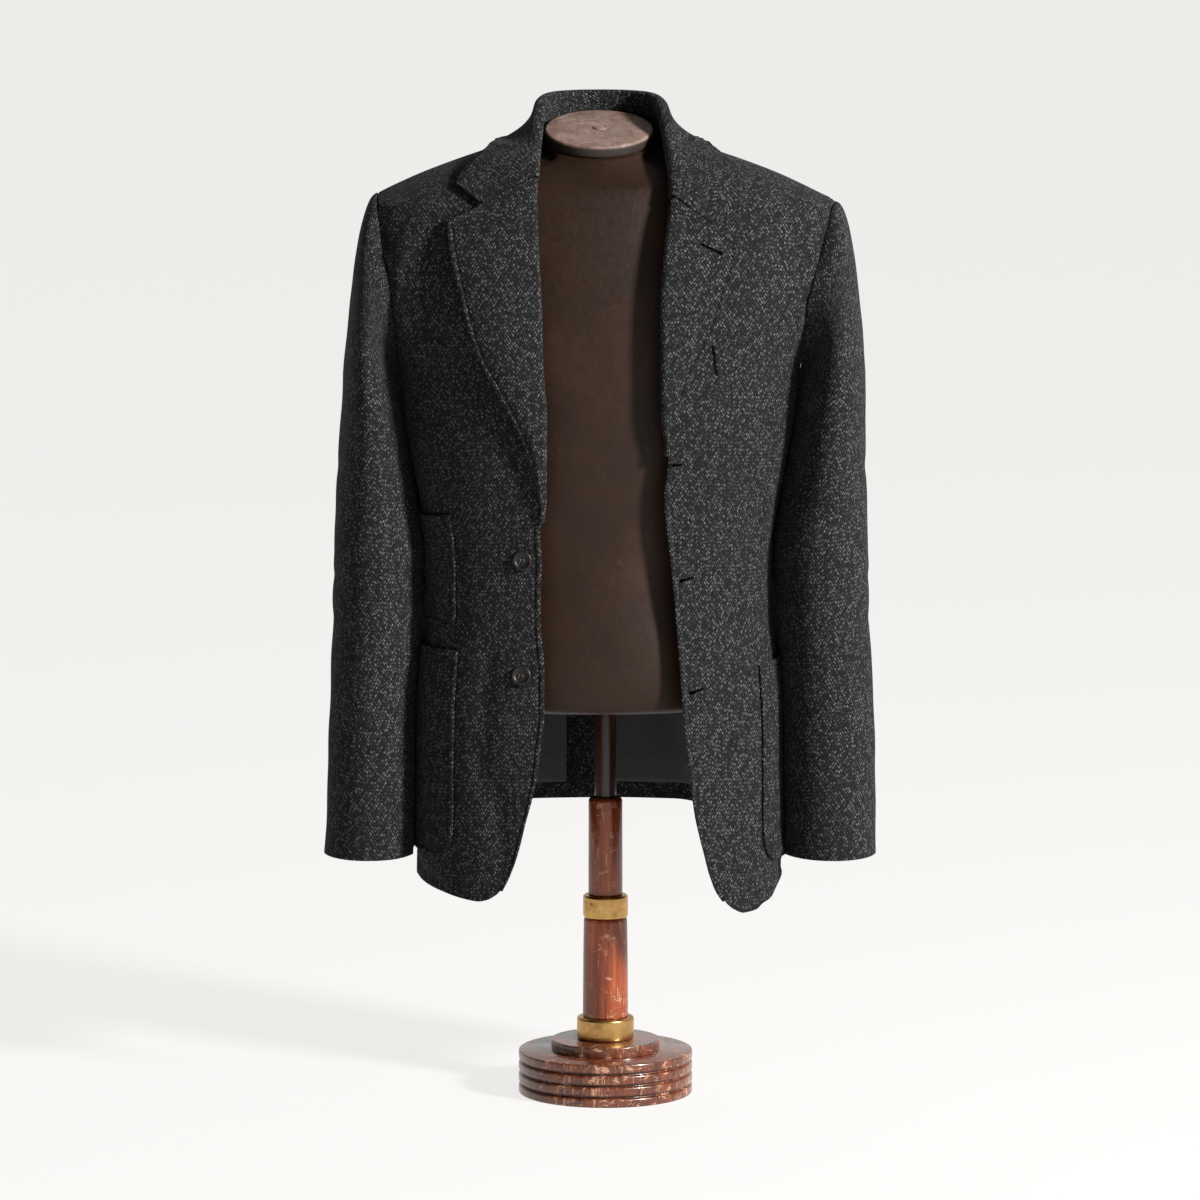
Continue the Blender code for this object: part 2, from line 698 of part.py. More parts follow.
def collar_section(side, station):
    """One section: foot of the stand, up round the fold, and down to the outer edge."""
    rows = COLLAR_STATIONS[side]
    if station == 0:
        return gorge_section(side)
    last = len(rows) - 1
    x, y, z, twist, edge_z, edge_angle, off = rows[station]
    roll = Vector((side * x + COAT_CENTRE_X, y, z))
    before = rows[max(station - 1, 0)]
    after = rows[min(station + 1, last)]
    along = Vector((side * (after[0] - before[0]), after[1] - before[1], after[2] - before[2]))
    if station == last:
        along = Vector((-side, 0.0, 0.0))
    along.normalize()
    outward = Vector((side, 0.0, 0.0))
    if y > -20.0:
        round_back = smooth_step(-20.0, 64.5, y)
        outward = Vector((side * (1.0 - round_back), round_back, 0.0))
    outward = (outward - along * outward.dot(along)).normalized()
    upward = outward.cross(along) if side == RIGHT else along.cross(outward)
    if upward.z < 0.0:
        upward = -upward
    turn = math.radians(twist)
    fold_way = -outward * math.cos(turn) + upward * math.sin(turn)
    face_way = upward * math.cos(turn) + outward * math.sin(turn)
    outer = COLLAR_ROLL + COLLAR_CLOTH
    centre = roll - fold_way * outer
    foot = neckline(side, station, last)
    foot = foot + fold_way * mix(*FOOT_GAP, twist / 90.0)
    bend = []
    for degrees in (-60.0, -20.0, 20.0, 60.0):
        angle = math.radians(degrees)
        bend.append(centre + fold_way * outer * math.cos(angle)
                    + face_way * outer * math.sin(angle))
    points = [foot, foot.lerp(bend[0], 0.5)] + bend
    edge = body_point(side, edge_angle, edge_z, off)
    fall_start = centre + face_way * outer
    reach = (edge - fall_start).length
    pull = fall_start - fold_way * reach * 0.42
    for step in range(1, 7):
        share = step / 6.0
        point = (fall_start * (1.0 - share) ** 2 + pull * 2.0 * share * (1.0 - share)
                 + edge * share ** 2)
        point = clear_of_coat(point, COLLAR_CLOTH + LAID_GAP + 0.3)
        points.append(point)
    return points


def gorge_section(side):
    """The collar's end: over the fold, along the gorge to the notch, up to the tip."""
    gorge = GORGE_Z[side]
    outer = roll_depth(side, gorge)
    inner = outer - CLOTH
    fold_x = curve_value(FRONT_EDGE[side], gorge)
    point_x = curve_value(LAPEL_EDGE[side], LAPEL_POINT_Z[side])
    slope = (LAPEL_POINT_Z[side] - gorge) / (point_x - fold_x)
    centre = fold_x + outer
    tip_z, tip_angle, tip_lift = COLLAR_STATIONS[side][0][4:]
    tip = body_point(side, tip_angle, tip_z)
    tip_x = abs(tip.x - COAT_CENTRE_X)
    places = []
    for turn in GORGE_TURNS:
        angle = math.radians(turn)
        places.append((centre - outer * math.cos(angle), inner + outer * math.sin(angle)))
    for step in range(1, 5):
        share = step / 4.0
        places.append((mix(centre, NOTCH_X[side], share), mix(inner + outer, 4.6, share)))
    points = [flat_point(side, x, gorge + GORGE_GAP + (x - fold_x) * slope, FRONT, lift)
              for x, lift in places]
    notch_z = gorge + GORGE_GAP + (NOTCH_X[side] - fold_x) * slope
    for share in (0.5, 1.0):
        points.append(flat_point(side, mix(NOTCH_X[side], tip_x, share),
                                 mix(notch_z, tip_z, share), FRONT,
                                 mix(4.6, tip_lift, share)))
    return points


def collar_rows():
    last = len(COLLAR_STATIONS[RIGHT]) - 1
    rows = [collar_section(RIGHT, station) for station in range(last + 1)]
    rows += [collar_section(LEFT, station) for station in range(last - 1, -1, -1)]
    return rows


# ---------------------------------------------------------------- sleeves
# Sleeve rings: height, outer x right and left, inner x, forward shift, half depth
SLEEVE_SECTIONS = [
    # z     outer_r  outer_l  inner  shift  depth
    (247.0, 274.0, 275.0, 189.5, 14.0, 50.0),
    (300.0, 270.5, 274.5, 188.5, 13.0, 51.0),
    (350.0, 269.0, 273.5, 188.0, 12.0, 53.0),
    (400.0, 267.0, 272.0, 187.5, 10.0, 55.5),
    (450.0, 266.0, 270.0, 184.0, 8.0, 58.0),
    (500.0, 264.8, 267.5, 179.0, 6.0, 60.5),
    (550.0, 263.4, 266.3, 178.5, 4.0, 63.0),
    (600.0, 261.0, 265.2, 185.0, 2.0, 66.0),
    (650.0, 258.5, 264.0, 194.0, 1.0, 71.0),
    (700.0, 254.8, 263.6, 201.5, 0.0, 77.0),
    (730.0, 253.2, 263.4, 206.0, 0.0, 80.0),
]
TUCK = [
    # z     how far the under sleeve tucks in behind the body
    (247.0, 18.0),
    (400.0, 20.0),
    (450.0, 26.0),
    (520.0, 22.0),
    (650.0, 18.0),
    (712.0, 14.0),
    (730.0, 8.0),
]
TUCK_TURN = 228.0
TUCK_HALF_TURN = 42.0
SLEEVE_CLEAR = [
    # z     gap to the coat's side
    (200.0, 6.2),
    (440.0, 6.6),
    (490.0, 6.5),
    (540.0, 3.2),
    (690.0, 3.2),
    (712.0, 5.0),
    (730.0, 6.6),
]
CUFF_Z = 247.0
SLEEVE_TOP_Z = 730.0
SLEEVE_ROWS = 10
CAP_ROWS = 6
CAP_POINT = {RIGHT: (238.0, 909.0), LEFT: (250.0, 902.0)}  # where the crown turns over
FORE_SEAM = 138.0               # seams, from the top of the ring forwards
HIND_SEAM = 250.0
TOP_STEPS = 14
UNDER_STEPS = 6
SLEEVE_FOLDS = [
    # turn  z      half turn  half height  rise
    (60.0, 590.0, 40.0, 13.0, -2.0),
    (75.0, 555.0, 36.0, 12.0, 1.6),
    (110.0, 600.0, 30.0, 12.0, -2.5),
    (300.0, 600.0, 34.0, 14.0, -2.2),
    (40.0, 470.0, 44.0, 14.0, -1.6),
    (95.0, 430.0, 30.0, 14.0, -1.4),
]


def armhole_loop(side, turn):
    """The armhole's own loop, from the shoulder tip forwards, just outside the panels."""
    level = 0.5 * (TIP_Z[side] + ARMPIT_Z)
    reach = 0.5 * (TIP_Z[side] - ARMPIT_Z)
    z = level + reach * math.cos(math.radians(turn))
    angle = armhole_angle(side, z)
    if turn > 180.0:
        angle = 180.0 - angle
    point = body_point(side, angle, z)
    return point + Vector((side * 2.0 * SEAM_GAP, 0.0, 0.0))


def body_reach(y, z):
    """How far the coat's side reaches out where its ring is y deep."""
    face = 2 if y < 0.0 else 3
    share = min(abs(y) / curve_value(BODY_SECTIONS, z, face), 1.0)
    return half_width(z) * (1.0 - share ** (2.0 / SQUARENESS)) ** (0.5 * SQUARENESS)


def sleeve_ring_point(side, turn, z):
    column = 1 if side == RIGHT else 2
    outer = curve_value(SLEEVE_SECTIONS, z, column)
    inner = curve_value(SLEEVE_SECTIONS, z, 3)
    shift = curve_value(SLEEVE_SECTIONS, z, 4)
    half_depth = curve_value(SLEEVE_SECTIONS, z, 5)
    angle = math.radians(turn)
    rise = 0.0
    for fold_turn, fold_z, half_turn, half_height, height in SLEEVE_FOLDS:
        away = (turn - fold_turn + 180.0) % 360.0 - 180.0
        rise += height * math.exp(-(away / half_turn) ** 2 - ((z - fold_z) / half_height) ** 2)
    x = 0.5 * (outer + inner) + (0.5 * (outer - inner) + rise) * math.cos(angle)
    y = -shift - (half_depth + rise) * math.sin(angle)
    tuck = curve_value(TUCK, z, 1) * math.exp(-((turn - TUCK_TURN) / TUCK_HALF_TURN) ** 2)
    x = max(x - tuck, body_reach(y, z) + curve_value(SLEEVE_CLEAR, z, 1))
    return Vector((side * x + COAT_CENTRE_X, y, z))


def sleeve_point(side, turn, level):
    """A point on the sleeve: level 0 is the cuff, 1 the top ring, 2 the armhole."""
    turn = turn % 360.0
    if level <= 1.0:
        return sleeve_ring_point(side, turn, mix(CUFF_Z, SLEEVE_TOP_Z, level))
    share = 2.0 - level
    start = armhole_loop(side, turn)
    end = sleeve_ring_point(side, turn, SLEEVE_TOP_Z)
    crown = 0.5 + 0.5 * math.cos(math.radians(turn))
    control = Vector((
        mix(end.x, side * CAP_POINT[side][0] + COAT_CENTRE_X, crown),
        mix(end.y, 0.5 * (start.y + end.y), 0.4),
        mix(start.z, CAP_POINT[side][1], crown ** 3),
    ))
    return (start * (1.0 - share) ** 2 + control * 2.0 * share * (1.0 - share)
            + end * share ** 2)


def sleeve_wall_point(side, turn, level, out):
    """A sleeve point moved out of the sleeve by a distance."""
    point = sleeve_point(side, turn, level)
    low = max(level - 0.01, 0.0)
    high = min(level + 0.01, 1.99)
    along = sleeve_point(side, turn, high) - sleeve_point(side, turn, low)
    around = sleeve_point(side, turn + 1.5, level) - sleeve_point(side, turn - 1.5, level)
    normal = along.cross(around) if side == RIGHT else around.cross(along)
    return point + normal.normalized() * out


def sleeve_grid(side, first, last, steps, out):
    levels = [row / SLEEVE_ROWS for row in range(SLEEVE_ROWS + 1)]
    levels += [1.0 + row / CAP_ROWS for row in range(1, CAP_ROWS + 1)]
    turns = [mix(first, last, step / steps) for step in range(steps + 1)]
    return [[sleeve_wall_point(side, turn, level, out) for turn in turns]
            for level in levels]


def build_sleeves(collection, cloth):
    gap = 0.25                  # degrees
    for side in (RIGHT, LEFT):
        spans = (
            ("top_sleeve_", HIND_SEAM - 360.0 + gap, FORE_SEAM - gap, TOP_STEPS),
            ("under_sleeve_", FORE_SEAM + gap, HIND_SEAM - gap, UNDER_STEPS),
        )
        for label, first, last, steps in spans:
            faces = sleeve_grid(side, first, last, steps, 0.0)
            backs = sleeve_grid(side, first, last, steps, -CLOTH)
            cloth_wall(label + SIDE_NAMES[side], faces, backs, cloth, collection,
                       side == RIGHT)


# ---------------------------------------------------------------- pockets
def patch_pocket(side, first, last, low, high, slant, corner, out):
    """A patch laid on the coat, with rounded lower corners and a slanted mouth."""
    columns = max(int((last - first) / 5.0), 3)
    heights = [low, low + 0.13 * corner, low + 0.5 * corner, low + corner]
    steps = 5
    for step in range(1, steps + 1):
        heights.append(mix(low + corner, high, step / steps))
    rows = []
    for z in heights:
        short = max(1.0 - (z - low) / corner, 0.0)
        inset = corner * (1.0 - math.sqrt(1.0 - short * short)) / DEGREE_MM
        points = []
        for column in range(columns + 1):
            angle = mix(first + inset, last - inset, column / columns)
            share = column / columns
            lean = slant * share * (z - low) / (high - low)
            points.append(body_point(side, angle, z + lean, out))
        rows.append(points)
    return rows


def welt_rows(out):
    rows = []
    for share in (0.0, 0.5, 1.0):
        points = []
        for column in range(9):
            along = column / 8.0
            x = mix(WELT_START[0] + 3.5 * (1.0 - share), WELT_END[0], along)
            top = mix(WELT_START[1], WELT_END[1], along) - 3.0 * math.sin(math.pi * along)
            z = top - WELT_HEIGHT * (1.0 - share)
            points.append(flat_point(LEFT, x, z, FRONT, out))
        rows.append(points)
    return rows


def build_pockets(collection, cloth):
    face = LAID_GAP + CLOTH
    for name, side, *sizes in POCKETS:
        cloth_wall(name, patch_pocket(side, *sizes, face), patch_pocket(side, *sizes, LAID_GAP),
                   cloth, collection, side == RIGHT)
    cloth_wall("breast_welt", welt_rows(face), welt_rows(LAID_GAP), cloth, collection)


POCKETS = [
    # name, side, first and last angle, bottom, top, slant of the mouth, corner
    ("ticket_pocket", RIGHT, 53.5, 84.0, 484.0, 596.0, -6.0, 9.0),
    ("hip_pocket_right", RIGHT, 50.5, 108.0, 255.0, 460.0, 0.0, 26.0),
    ("hip_pocket_left", LEFT, 61.0, 118.0, 246.0, 443.0, 10.0, 26.0),
]
WELT_START = (111.5, 768.5)
WELT_END = (196.5, 798.0)
WELT_HEIGHT = 29.0


# ---------------------------------------------------------------- buttons
BUTTONS = [("button_middle", 75.4, 555.3), ("button_bottom", 76.5, 441.0)]
BUTTON_RADIUS = 10.0
BUTTON_SEAT = 0.35              # the button's underside above the cloth's drawn face


def build_buttons(collection, horn):
    profile = [
        (0.0, 2.6), (6.6, 2.6), (7.4, 3.6), (8.6, 4.0), (9.6, 3.4),
        (BUTTON_RADIUS, 2.2), (9.0, 0.8), (6.0, 0.0), (0.0, 0.0),
    ]
    for name, x, z in BUTTONS:
        seat = flat_point(RIGHT, x, z, FRONT, BUTTON_SEAT)
        out = surface_normal(seat - Vector((COAT_CENTRE_X, 0.0, 0.0)))
        thing = turned(name, profile, horn, collection, 16)
        thing.location = seat * MM
        thing.rotation_euler = out.to_track_quat("Z", "Y").to_euler()


# ---------------------------------------------------------------- inside the back
def inner_strip(side, first, last, low_rise, high, out, columns):
    rows = []
    for row in range(8):
        points = []
        for column in range(columns + 1):
            angle = mix(first, last, column / columns)
            low = side_hem_z(side, angle) + low_rise
            z = mix(low, high, row / 7.0)
            points.append(body_point(side, angle, z, out))
        rows.append(points)
    return rows


def vent_rows(out):
    rows = []
    for row in range(9):
        z = mix(BACK_HEM_Z + 1.0, VENT_TOP_Z, row / 8.0)
        points = []
        for step in range(5):
            x = mix(-25.0, 1.5, step / 4.0)
            side = RIGHT if x < 0.0 else LEFT
            points.append(flat_point(side, abs(x), z, BACK, out))
        rows.append(points)
    return rows


def build_inside(collection, cloth, lining):
    inside = -(CLOTH + LAID_GAP)
    cloth_wall("vent_underlap", vent_rows(inside), vent_rows(inside - CLOTH), cloth,
               collection, True)
    inside = -(CLOTH + INNER_GAP)
    for name, side, last in (("lining_right", RIGHT, 171.0), ("lining_left", LEFT, 178.5)):
        face = inner_strip(side, 98.0, last, 17.0, 560.0, inside, 7)
        back = inner_strip(side, 98.0, last, 17.0, 560.0, inside - LINING, 7)
        cloth_wall(name, face, back, lining, collection, side == RIGHT)


# ---------------------------------------------------------------- dress form
FORM_CENTRE_X = -6.5
SEAT_GAP = 0.4                  # between the form's shoulders and the coat
SEAT_SLACK = {FRONT: 10.0, BACK: 3.5}    # more room away from the shoulder line
CAP_TILT = 15.4                 # the neck is cut sloping down to the front
NECK_RADIUS = 53.0
CAP_RADIUS = 54.3
CAP_THICKNESS = 13.0
CAP_CENTRE_Z = 973.0
FORM_STEPS = 24
# Rings of the form's body: height, half width, depth to the front, depth to the back
FORM_SECTIONS = [
    (396.0, 120.0, 72.0, 70.0),
    (398.0, 140.0, 88.0, 86.0),
    (406.0, 153.0, 99.0, 97.0),
    (430.0, 157.0, 103.0, 100.0),
    (470.0, 152.0, 102.0, 96.0),
    (520.0, 143.0, 98.0, 90.0),
    (560.0, 142.0, 97.0, 88.0),
    (610.0, 148.0, 101.0, 92.0),
    (670.0, 158.0, 107.0, 99.0),
    (730.0, 167.0, 109.0, 104.0),
    (790.0, 174.0, 107.0, 107.0),
    (840.0, 179.0, 101.0, 106.0),
    (880.0, 179.0, 92.0, 101.0),
    (905.0, 172.0, 84.0, 95.0),
    (920.0, 160.0, 78.0, 91.0),
]
SEAT_RINGS = (929.0, 937.0, 945.0, 952.0, 958.0)
THROAT_DIP = 28.0


def form_ring(width, front, back, z_of, shape=0.92):
    points = []
    for step in range(FORM_STEPS):
        turn = 2.0 * math.pi * step / FORM_STEPS
        side, cosine = math.sin(turn), math.cos(turn)
        x = math.copysign(abs(side) ** shape, side) * width
        y = -math.copysign(abs(cosine) ** shape, cosine) * (front if cosine > 0 else back)
        points.append(Vector((x + FORM_CENTRE_X, y, z_of(y))))
    return points


def seat_ring(z):
    """A ring that lies just inside the coat's shoulders and dips towards the throat."""
    points = []
    dip = THROAT_DIP * (z - SEAT_RINGS[0]) / (SEAT_RINGS[-1] - SEAT_RINGS[0])
    for step in range(FORM_STEPS):
        turn = 360.0 * step / FORM_STEPS
        side = LEFT if turn <= 180.0 else RIGHT
        angle = turn if turn <= 180.0 else 360.0 - turn
        gap = SEAT_GAP + SEAT_SLACK[FRONT if angle < 90.0 else BACK]
        gap = SEAT_GAP if abs(angle - 90.0) < 1.0 else gap
        level = z - dip * max(math.cos(math.radians(angle)), 0.0)
        points.append(body_point(side, angle, level, -(CLOTH + gap)))
    return points


def build_form(collection, cover, cap_wood):
    rings = [form_ring(width, front, back, lambda y, level=z: level)
             for z, width, front, back in FORM_SECTIONS]
    rings += [seat_ring(z) for z in SEAT_RINGS]
    slope = math.tan(math.radians(CAP_TILT))
    under = CAP_THICKNESS + 0.3
    top = CAP_CENTRE_Z - under / math.cos(math.radians(CAP_TILT))
    rings.append(form_ring(NECK_RADIUS + 2.0, 57.0, 57.0, lambda y: 951.0 + 0.27 * y, 1.0))
    rings.append(form_ring(NECK_RADIUS, 51.5, 51.5, lambda y: top + slope * y, 1.0))
    closed_loft("form_torso", rings, cover, collection)
    tilt = Euler((math.radians(CAP_TILT), 0.0, 0.0))
    cap = turned("neck_cap", [
        (0.0, 0.0), (CAP_RADIUS - 1.5, 0.0), (CAP_RADIUS, -1.5),
        (CAP_RADIUS, -CAP_THICKNESS + 2.0), (CAP_RADIUS - 1.6, -CAP_THICKNESS),
        (0.0, -CAP_THICKNESS),
    ], cap_wood, collection)
    cap.location = Vector((FORM_CENTRE_X, 0.0, CAP_CENTRE_Z)) * MM
    cap.rotation_euler = tilt
    plug = turned("cap_plug", [(0.0, 1.6), (6.2, 1.4), (7.0, 0.9), (7.0, 0.3), (0.0, 0.3)],
                  cap_wood, collection, 12)
    plug.location = Vector((FORM_CENTRE_X + 1.5, 0.0, CAP_CENTRE_Z)) * MM
    plug.rotation_euler = tilt


# ---------------------------------------------------------------- stand
STAND = [
    # name, finish, profile of (radius, height) from the top down
    ("rod", "dark_wood", [(10.7, 395.6), (10.7, 301.3)]),
    ("upper_post", "wood", [(15.5, 301.0), (17.0, 299.5), (17.2, 201.6)]),
    ("upper_ring", "brass", [(21.6, 201.3), (22.6, 200.4), (22.6, 179.4), (21.6, 178.5)]),
    ("lower_post", "wood", [(21.4, 178.2), (22.4, 140.0), (22.8, 77.6)]),
    ("lower_ring", "brass", [(27.0, 77.3), (28.7, 76.0), (28.7, 55.6), (27.6, 54.6)]),
    ("step_disc", "wood", [(52.5, 54.3), (54.6, 52.6), (54.6, 45.0), (53.6, 43.6)]),
]
BASE_RADIUS = 87.5
BASE_HEIGHT = 43.3
BASE_BANDS = 4
GROOVE_DEPTH = 2.4
GROOVE_HEIGHT = 3.6


def base_profile():
    """A turned disc whose edge has bands parted by grooves."""
    points = [(0.0, BASE_HEIGHT), (BASE_RADIUS - 3.0, BASE_HEIGHT)]
    band = (BASE_HEIGHT - GROOVE_HEIGHT * (BASE_BANDS - 1)) / BASE_BANDS
    top = BASE_HEIGHT
    for index in range(BASE_BANDS):
        low = top - band
        points.append((BASE_RADIUS - 1.0, top - 0.8))
        points.append((BASE_RADIUS, top - 0.5 * band))
        points.append((BASE_RADIUS - 1.0, low + 0.8))
        if index < BASE_BANDS - 1:
            points.append((BASE_RADIUS - GROOVE_DEPTH, low))
            points.append((BASE_RADIUS - GROOVE_DEPTH, low - GROOVE_HEIGHT))
        top = low - GROOVE_HEIGHT
    points.append((BASE_RADIUS - 2.0, 0.0))
    points.append((0.0, 0.0))
    return points


def build_stand(collection, finishes):
    for name, finish, outline in STAND:
        profile = [(0.0, outline[0][1])] + outline + [(0.0, outline[-1][1])]
        turned(name, profile, finishes[finish], collection)
    turned("base_disc", base_profile(), finishes["wood"], collection, 28)


# ---------------------------------------------------------------- the whole object
def build_body(collection, cloth):
    for side in (RIGHT, LEFT):
        panels = (("front_", front_panel, side == RIGHT), ("side_", side_panel, side == RIGHT),
                  ("back_", back_panel, side == LEFT))
        for label, panel, flip in panels:
            cloth_wall(label + SIDE_NAMES[side], panel(side, 0.0), panel(side, -CLOTH),
                       cloth, collection, flip)
        turned_cloth("lapel_" + SIDE_NAMES[side], lapel_rows(side), cloth, collection,
                     side == RIGHT)
    turned_cloth("collar", collar_rows(), cloth, collection, False, COLLAR_CLOTH)


def main():
    clean_scene()
    collection = bpy.data.collections.new("sport_coat_on_dress_form")
    bpy.context.scene.collection.children.link(collection)
    tweed = material("charcoal_tweed", (0.035, 0.036, 0.038), 0.9)
    lining = material("black_lining", (0.012, 0.012, 0.014), 0.45)
    horn = material("dark_horn", (0.02, 0.016, 0.014), 0.35)
    cover = material("form_cover", (0.06, 0.04, 0.035), 0.8)
    cap_wood = material("dusty_wood", (0.16, 0.105, 0.1), 0.7)
    finishes = {
        "wood": material("mahogany", (0.2, 0.05, 0.025), 0.3),
        "dark_wood": material("dark_mahogany", (0.05, 0.015, 0.01), 0.35),
        "brass": material("aged_brass", (0.42, 0.28, 0.12), 0.35, 1.0),
    }
    build_body(collection, tweed)
    build_sleeves(collection, tweed)
    build_pockets(collection, tweed)
    build_buttons(collection, horn)
    build_inside(collection, tweed, lining)
    build_form(collection, cover, cap_wood)
    build_stand(collection, finishes)


main()
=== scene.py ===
"""Looks of a tweed sport coat worn open on a limbless dress form with a turned stand.

The cloth is worked out as in the pattern: one ring-shaped body form carries the fronts,
sides, backs, lapels, collar and pockets, and the sleeves hang from its armholes. Sizes
are in millimetres until a mesh is made. Right and left are the wearer's.
"""
import math

import bpy
import numpy as np
from mathutils import Matrix, Vector
from mathutils.bvhtree import BVHTree


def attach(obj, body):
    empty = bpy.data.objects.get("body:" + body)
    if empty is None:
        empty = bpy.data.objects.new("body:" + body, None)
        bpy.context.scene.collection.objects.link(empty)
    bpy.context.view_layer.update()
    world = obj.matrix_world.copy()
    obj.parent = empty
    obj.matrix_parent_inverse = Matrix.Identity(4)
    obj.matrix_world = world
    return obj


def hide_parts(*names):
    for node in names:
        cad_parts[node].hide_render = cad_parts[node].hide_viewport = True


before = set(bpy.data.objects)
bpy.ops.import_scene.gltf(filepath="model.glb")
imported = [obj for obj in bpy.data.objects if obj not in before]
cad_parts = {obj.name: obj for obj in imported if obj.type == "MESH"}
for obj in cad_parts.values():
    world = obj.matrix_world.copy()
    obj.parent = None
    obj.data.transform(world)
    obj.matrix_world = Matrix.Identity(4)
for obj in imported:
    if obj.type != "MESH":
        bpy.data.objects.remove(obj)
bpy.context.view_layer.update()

MM = 0.001
RIGHT, LEFT = -1, 1             # the wearer's right side lies at -X
SIDE_NAMES = {RIGHT: "right", LEFT: "left"}
FRONT, BACK = -1, 1

# ---------------------------------------------------------------- the coat's sizes (mm)
COAT_CENTRE_X = -6
COAT_CENTRE = (COAT_CENTRE_X, 0, 0)
CLOTH = 2
LINING = 1
SEAM_GAP = 0.5
LAID_GAP = 0.5                  # between a panel and what is sewn on it
SQUARENESS = 0.9                # 1 gives oval rings, less gives squarer ones
ARMPIT_Z = 740
YOKE_Z = 765
NECK_POINT = (70, 962)
BACK_NECK_Z = 974
BACK_HEM_Z = 279
VENT_TOP_Z = 490
SIDE_SEAM = {RIGHT: (70, 115), LEFT: (74, 115)}
TIP_Z = {RIGHT: 908, LEFT: 900}
BREAK_Z = {RIGHT: 587, LEFT: 656}
GORGE_Z = {RIGHT: 928, LEFT: 911}
LAPEL_POINT_Z = {RIGHT: 887, LEFT: 868.5}

# Rings of the coat's body: height, half width, depth to the front, depth to the back
BODY_SECTIONS = [
    # z     width  front  back
    (190, 184.5, 128, 133),
    (250, 183.5, 128, 132),
    (300, 182.5, 127, 130),
    (350, 182, 126, 129),
    (400, 181, 125, 126),
    (450, 177, 122, 118),
    (500, 172, 120, 111),
    (550, 172.5, 120, 109),
    (600, 179, 122, 112),
    (650, 188.5, 125, 117),
    (700, 196, 127, 122),
    (740, 200.5, 128, 125),
    (755, 205, 128, 126),
    (770, 211.5, 127, 127),
    (796, 226, 125, 128),
    (820, 235, 122, 128),
    (845, 238.5, 118, 126),
    (875, 238, 111, 121),
    (900, 233.5, 102, 114),
    (908, 219.5, 98, 110),
    (918, 199, 92, 105),
    (928, 176.5, 85, 99),
    (939, 148, 76, 92),
    (950, 116, 66, 84),
    (956, 96, 59, 78),
    (962, 70, 52, 72),
    (968, 66, 48, 69),
    (976, 63, 44, 67),
    (990, 61, 40, 66),
]
# Armhole edge seen from the front: height, x on the right side, x on the left side
ARMHOLE = [
    # z     right  left
    (740, 200.5, 200.5),
    (755, 201, 201.5),
    (776, 202.4, 203),
    (802, 204.3, 204),
    (825, 206.2, 208.5),
    (848, 212.5, 216.5),
    (878, 217, 225),
    (896, 219, 229.5),
    (900, 219.3, 233.5),
    (908, 219.5, 233.5),
]
# Front edge and roll line: height, x
FRONT_EDGE = {
    RIGHT: [
        (229, 94.7), (245, 86.7), (267, 79.7), (294, 73.1), (318, 66.7),
        (337, 62.8), (371, 58.3), (404, 54.8), (445, 54.8), (485, 58.2),
        (510, 58.7), (587, 54.6), (617, 51.6), (663, 51.1), (694, 51),
        (754, 54.7), (814, 56.3), (869, 59.3), (912, 60.4), (928, 60.4),
    ],
    LEFT: [
        (217, 121), (224, 115.7), (238, 109.6), (261, 103.6), (277, 99.6),
        (301, 94.6), (341, 89.5), (375, 85.5), (430, 81), (463, 78.5),
        (512, 74.5), (562, 69.5), (609, 64.5), (656, 63.6), (669, 63.9),
        (694, 60.4), (723, 59.4), (810, 59.3), (855, 62.3), (883, 65.2),
        (905, 68.2), (911, 69.5), (926, 70.3),
    ],
}
# Hem of the fronts: x, height
FRONT_HEM = {
    RIGHT: [
        (94.7, 229), (102.7, 220.6), (112.7, 214.6), (121.2, 212.7), (135.7, 214),
        (156, 217.7), (173.5, 221.8), (185, 227),
    ],
    LEFT: [
        (121, 217), (124.7, 212.3), (134.3, 203.1), (144.4, 198.5), (156, 199.5),
        (163.2, 204.5), (171.4, 207.8), (178.7, 219.1), (185, 228.5),
    ],
}
SIDE_HEM_Z = {RIGHT: 227, LEFT: 229}
# Outer edge of the lapels: height, x
LAPEL_EDGE = {
    RIGHT: [
        (587, 54.6), (606, 56.6), (632, 62.4), (655, 68.3), (677, 76.2),
        (697, 85), (727, 99.7), (756, 114.9), (782, 124.2), (808, 131.5),
        (850, 141.9), (887, 148.9),
    ],
    LEFT: [
        (656, 64.4), (677.6, 67.3), (696, 73.7), (718, 83), (742, 91.8),
        (767, 104.6), (791, 115.4), (815, 123.2), (846, 132.1), (868.5, 135.1),
    ],
}
# How far the lapel's face stands off the front: share of its height, at its edge
LAPEL_LIFT = {
    RIGHT: [(0, 3.4), (0.25, 6), (0.55, 12), (0.85, 12), (1, 7)],
    LEFT: [(0, 3.9), (0.4, 4.2), (0.8, 5.4), (1, 5.6)],
}
ROLL_RADIUS = 3.2               # hollow inside the fold of the lapel
BREAK_RADIUS = 0.8              # the same where the lapel starts to turn
EDGE_CLEAR = 1.4                # between the front's own edge and the fold's middle


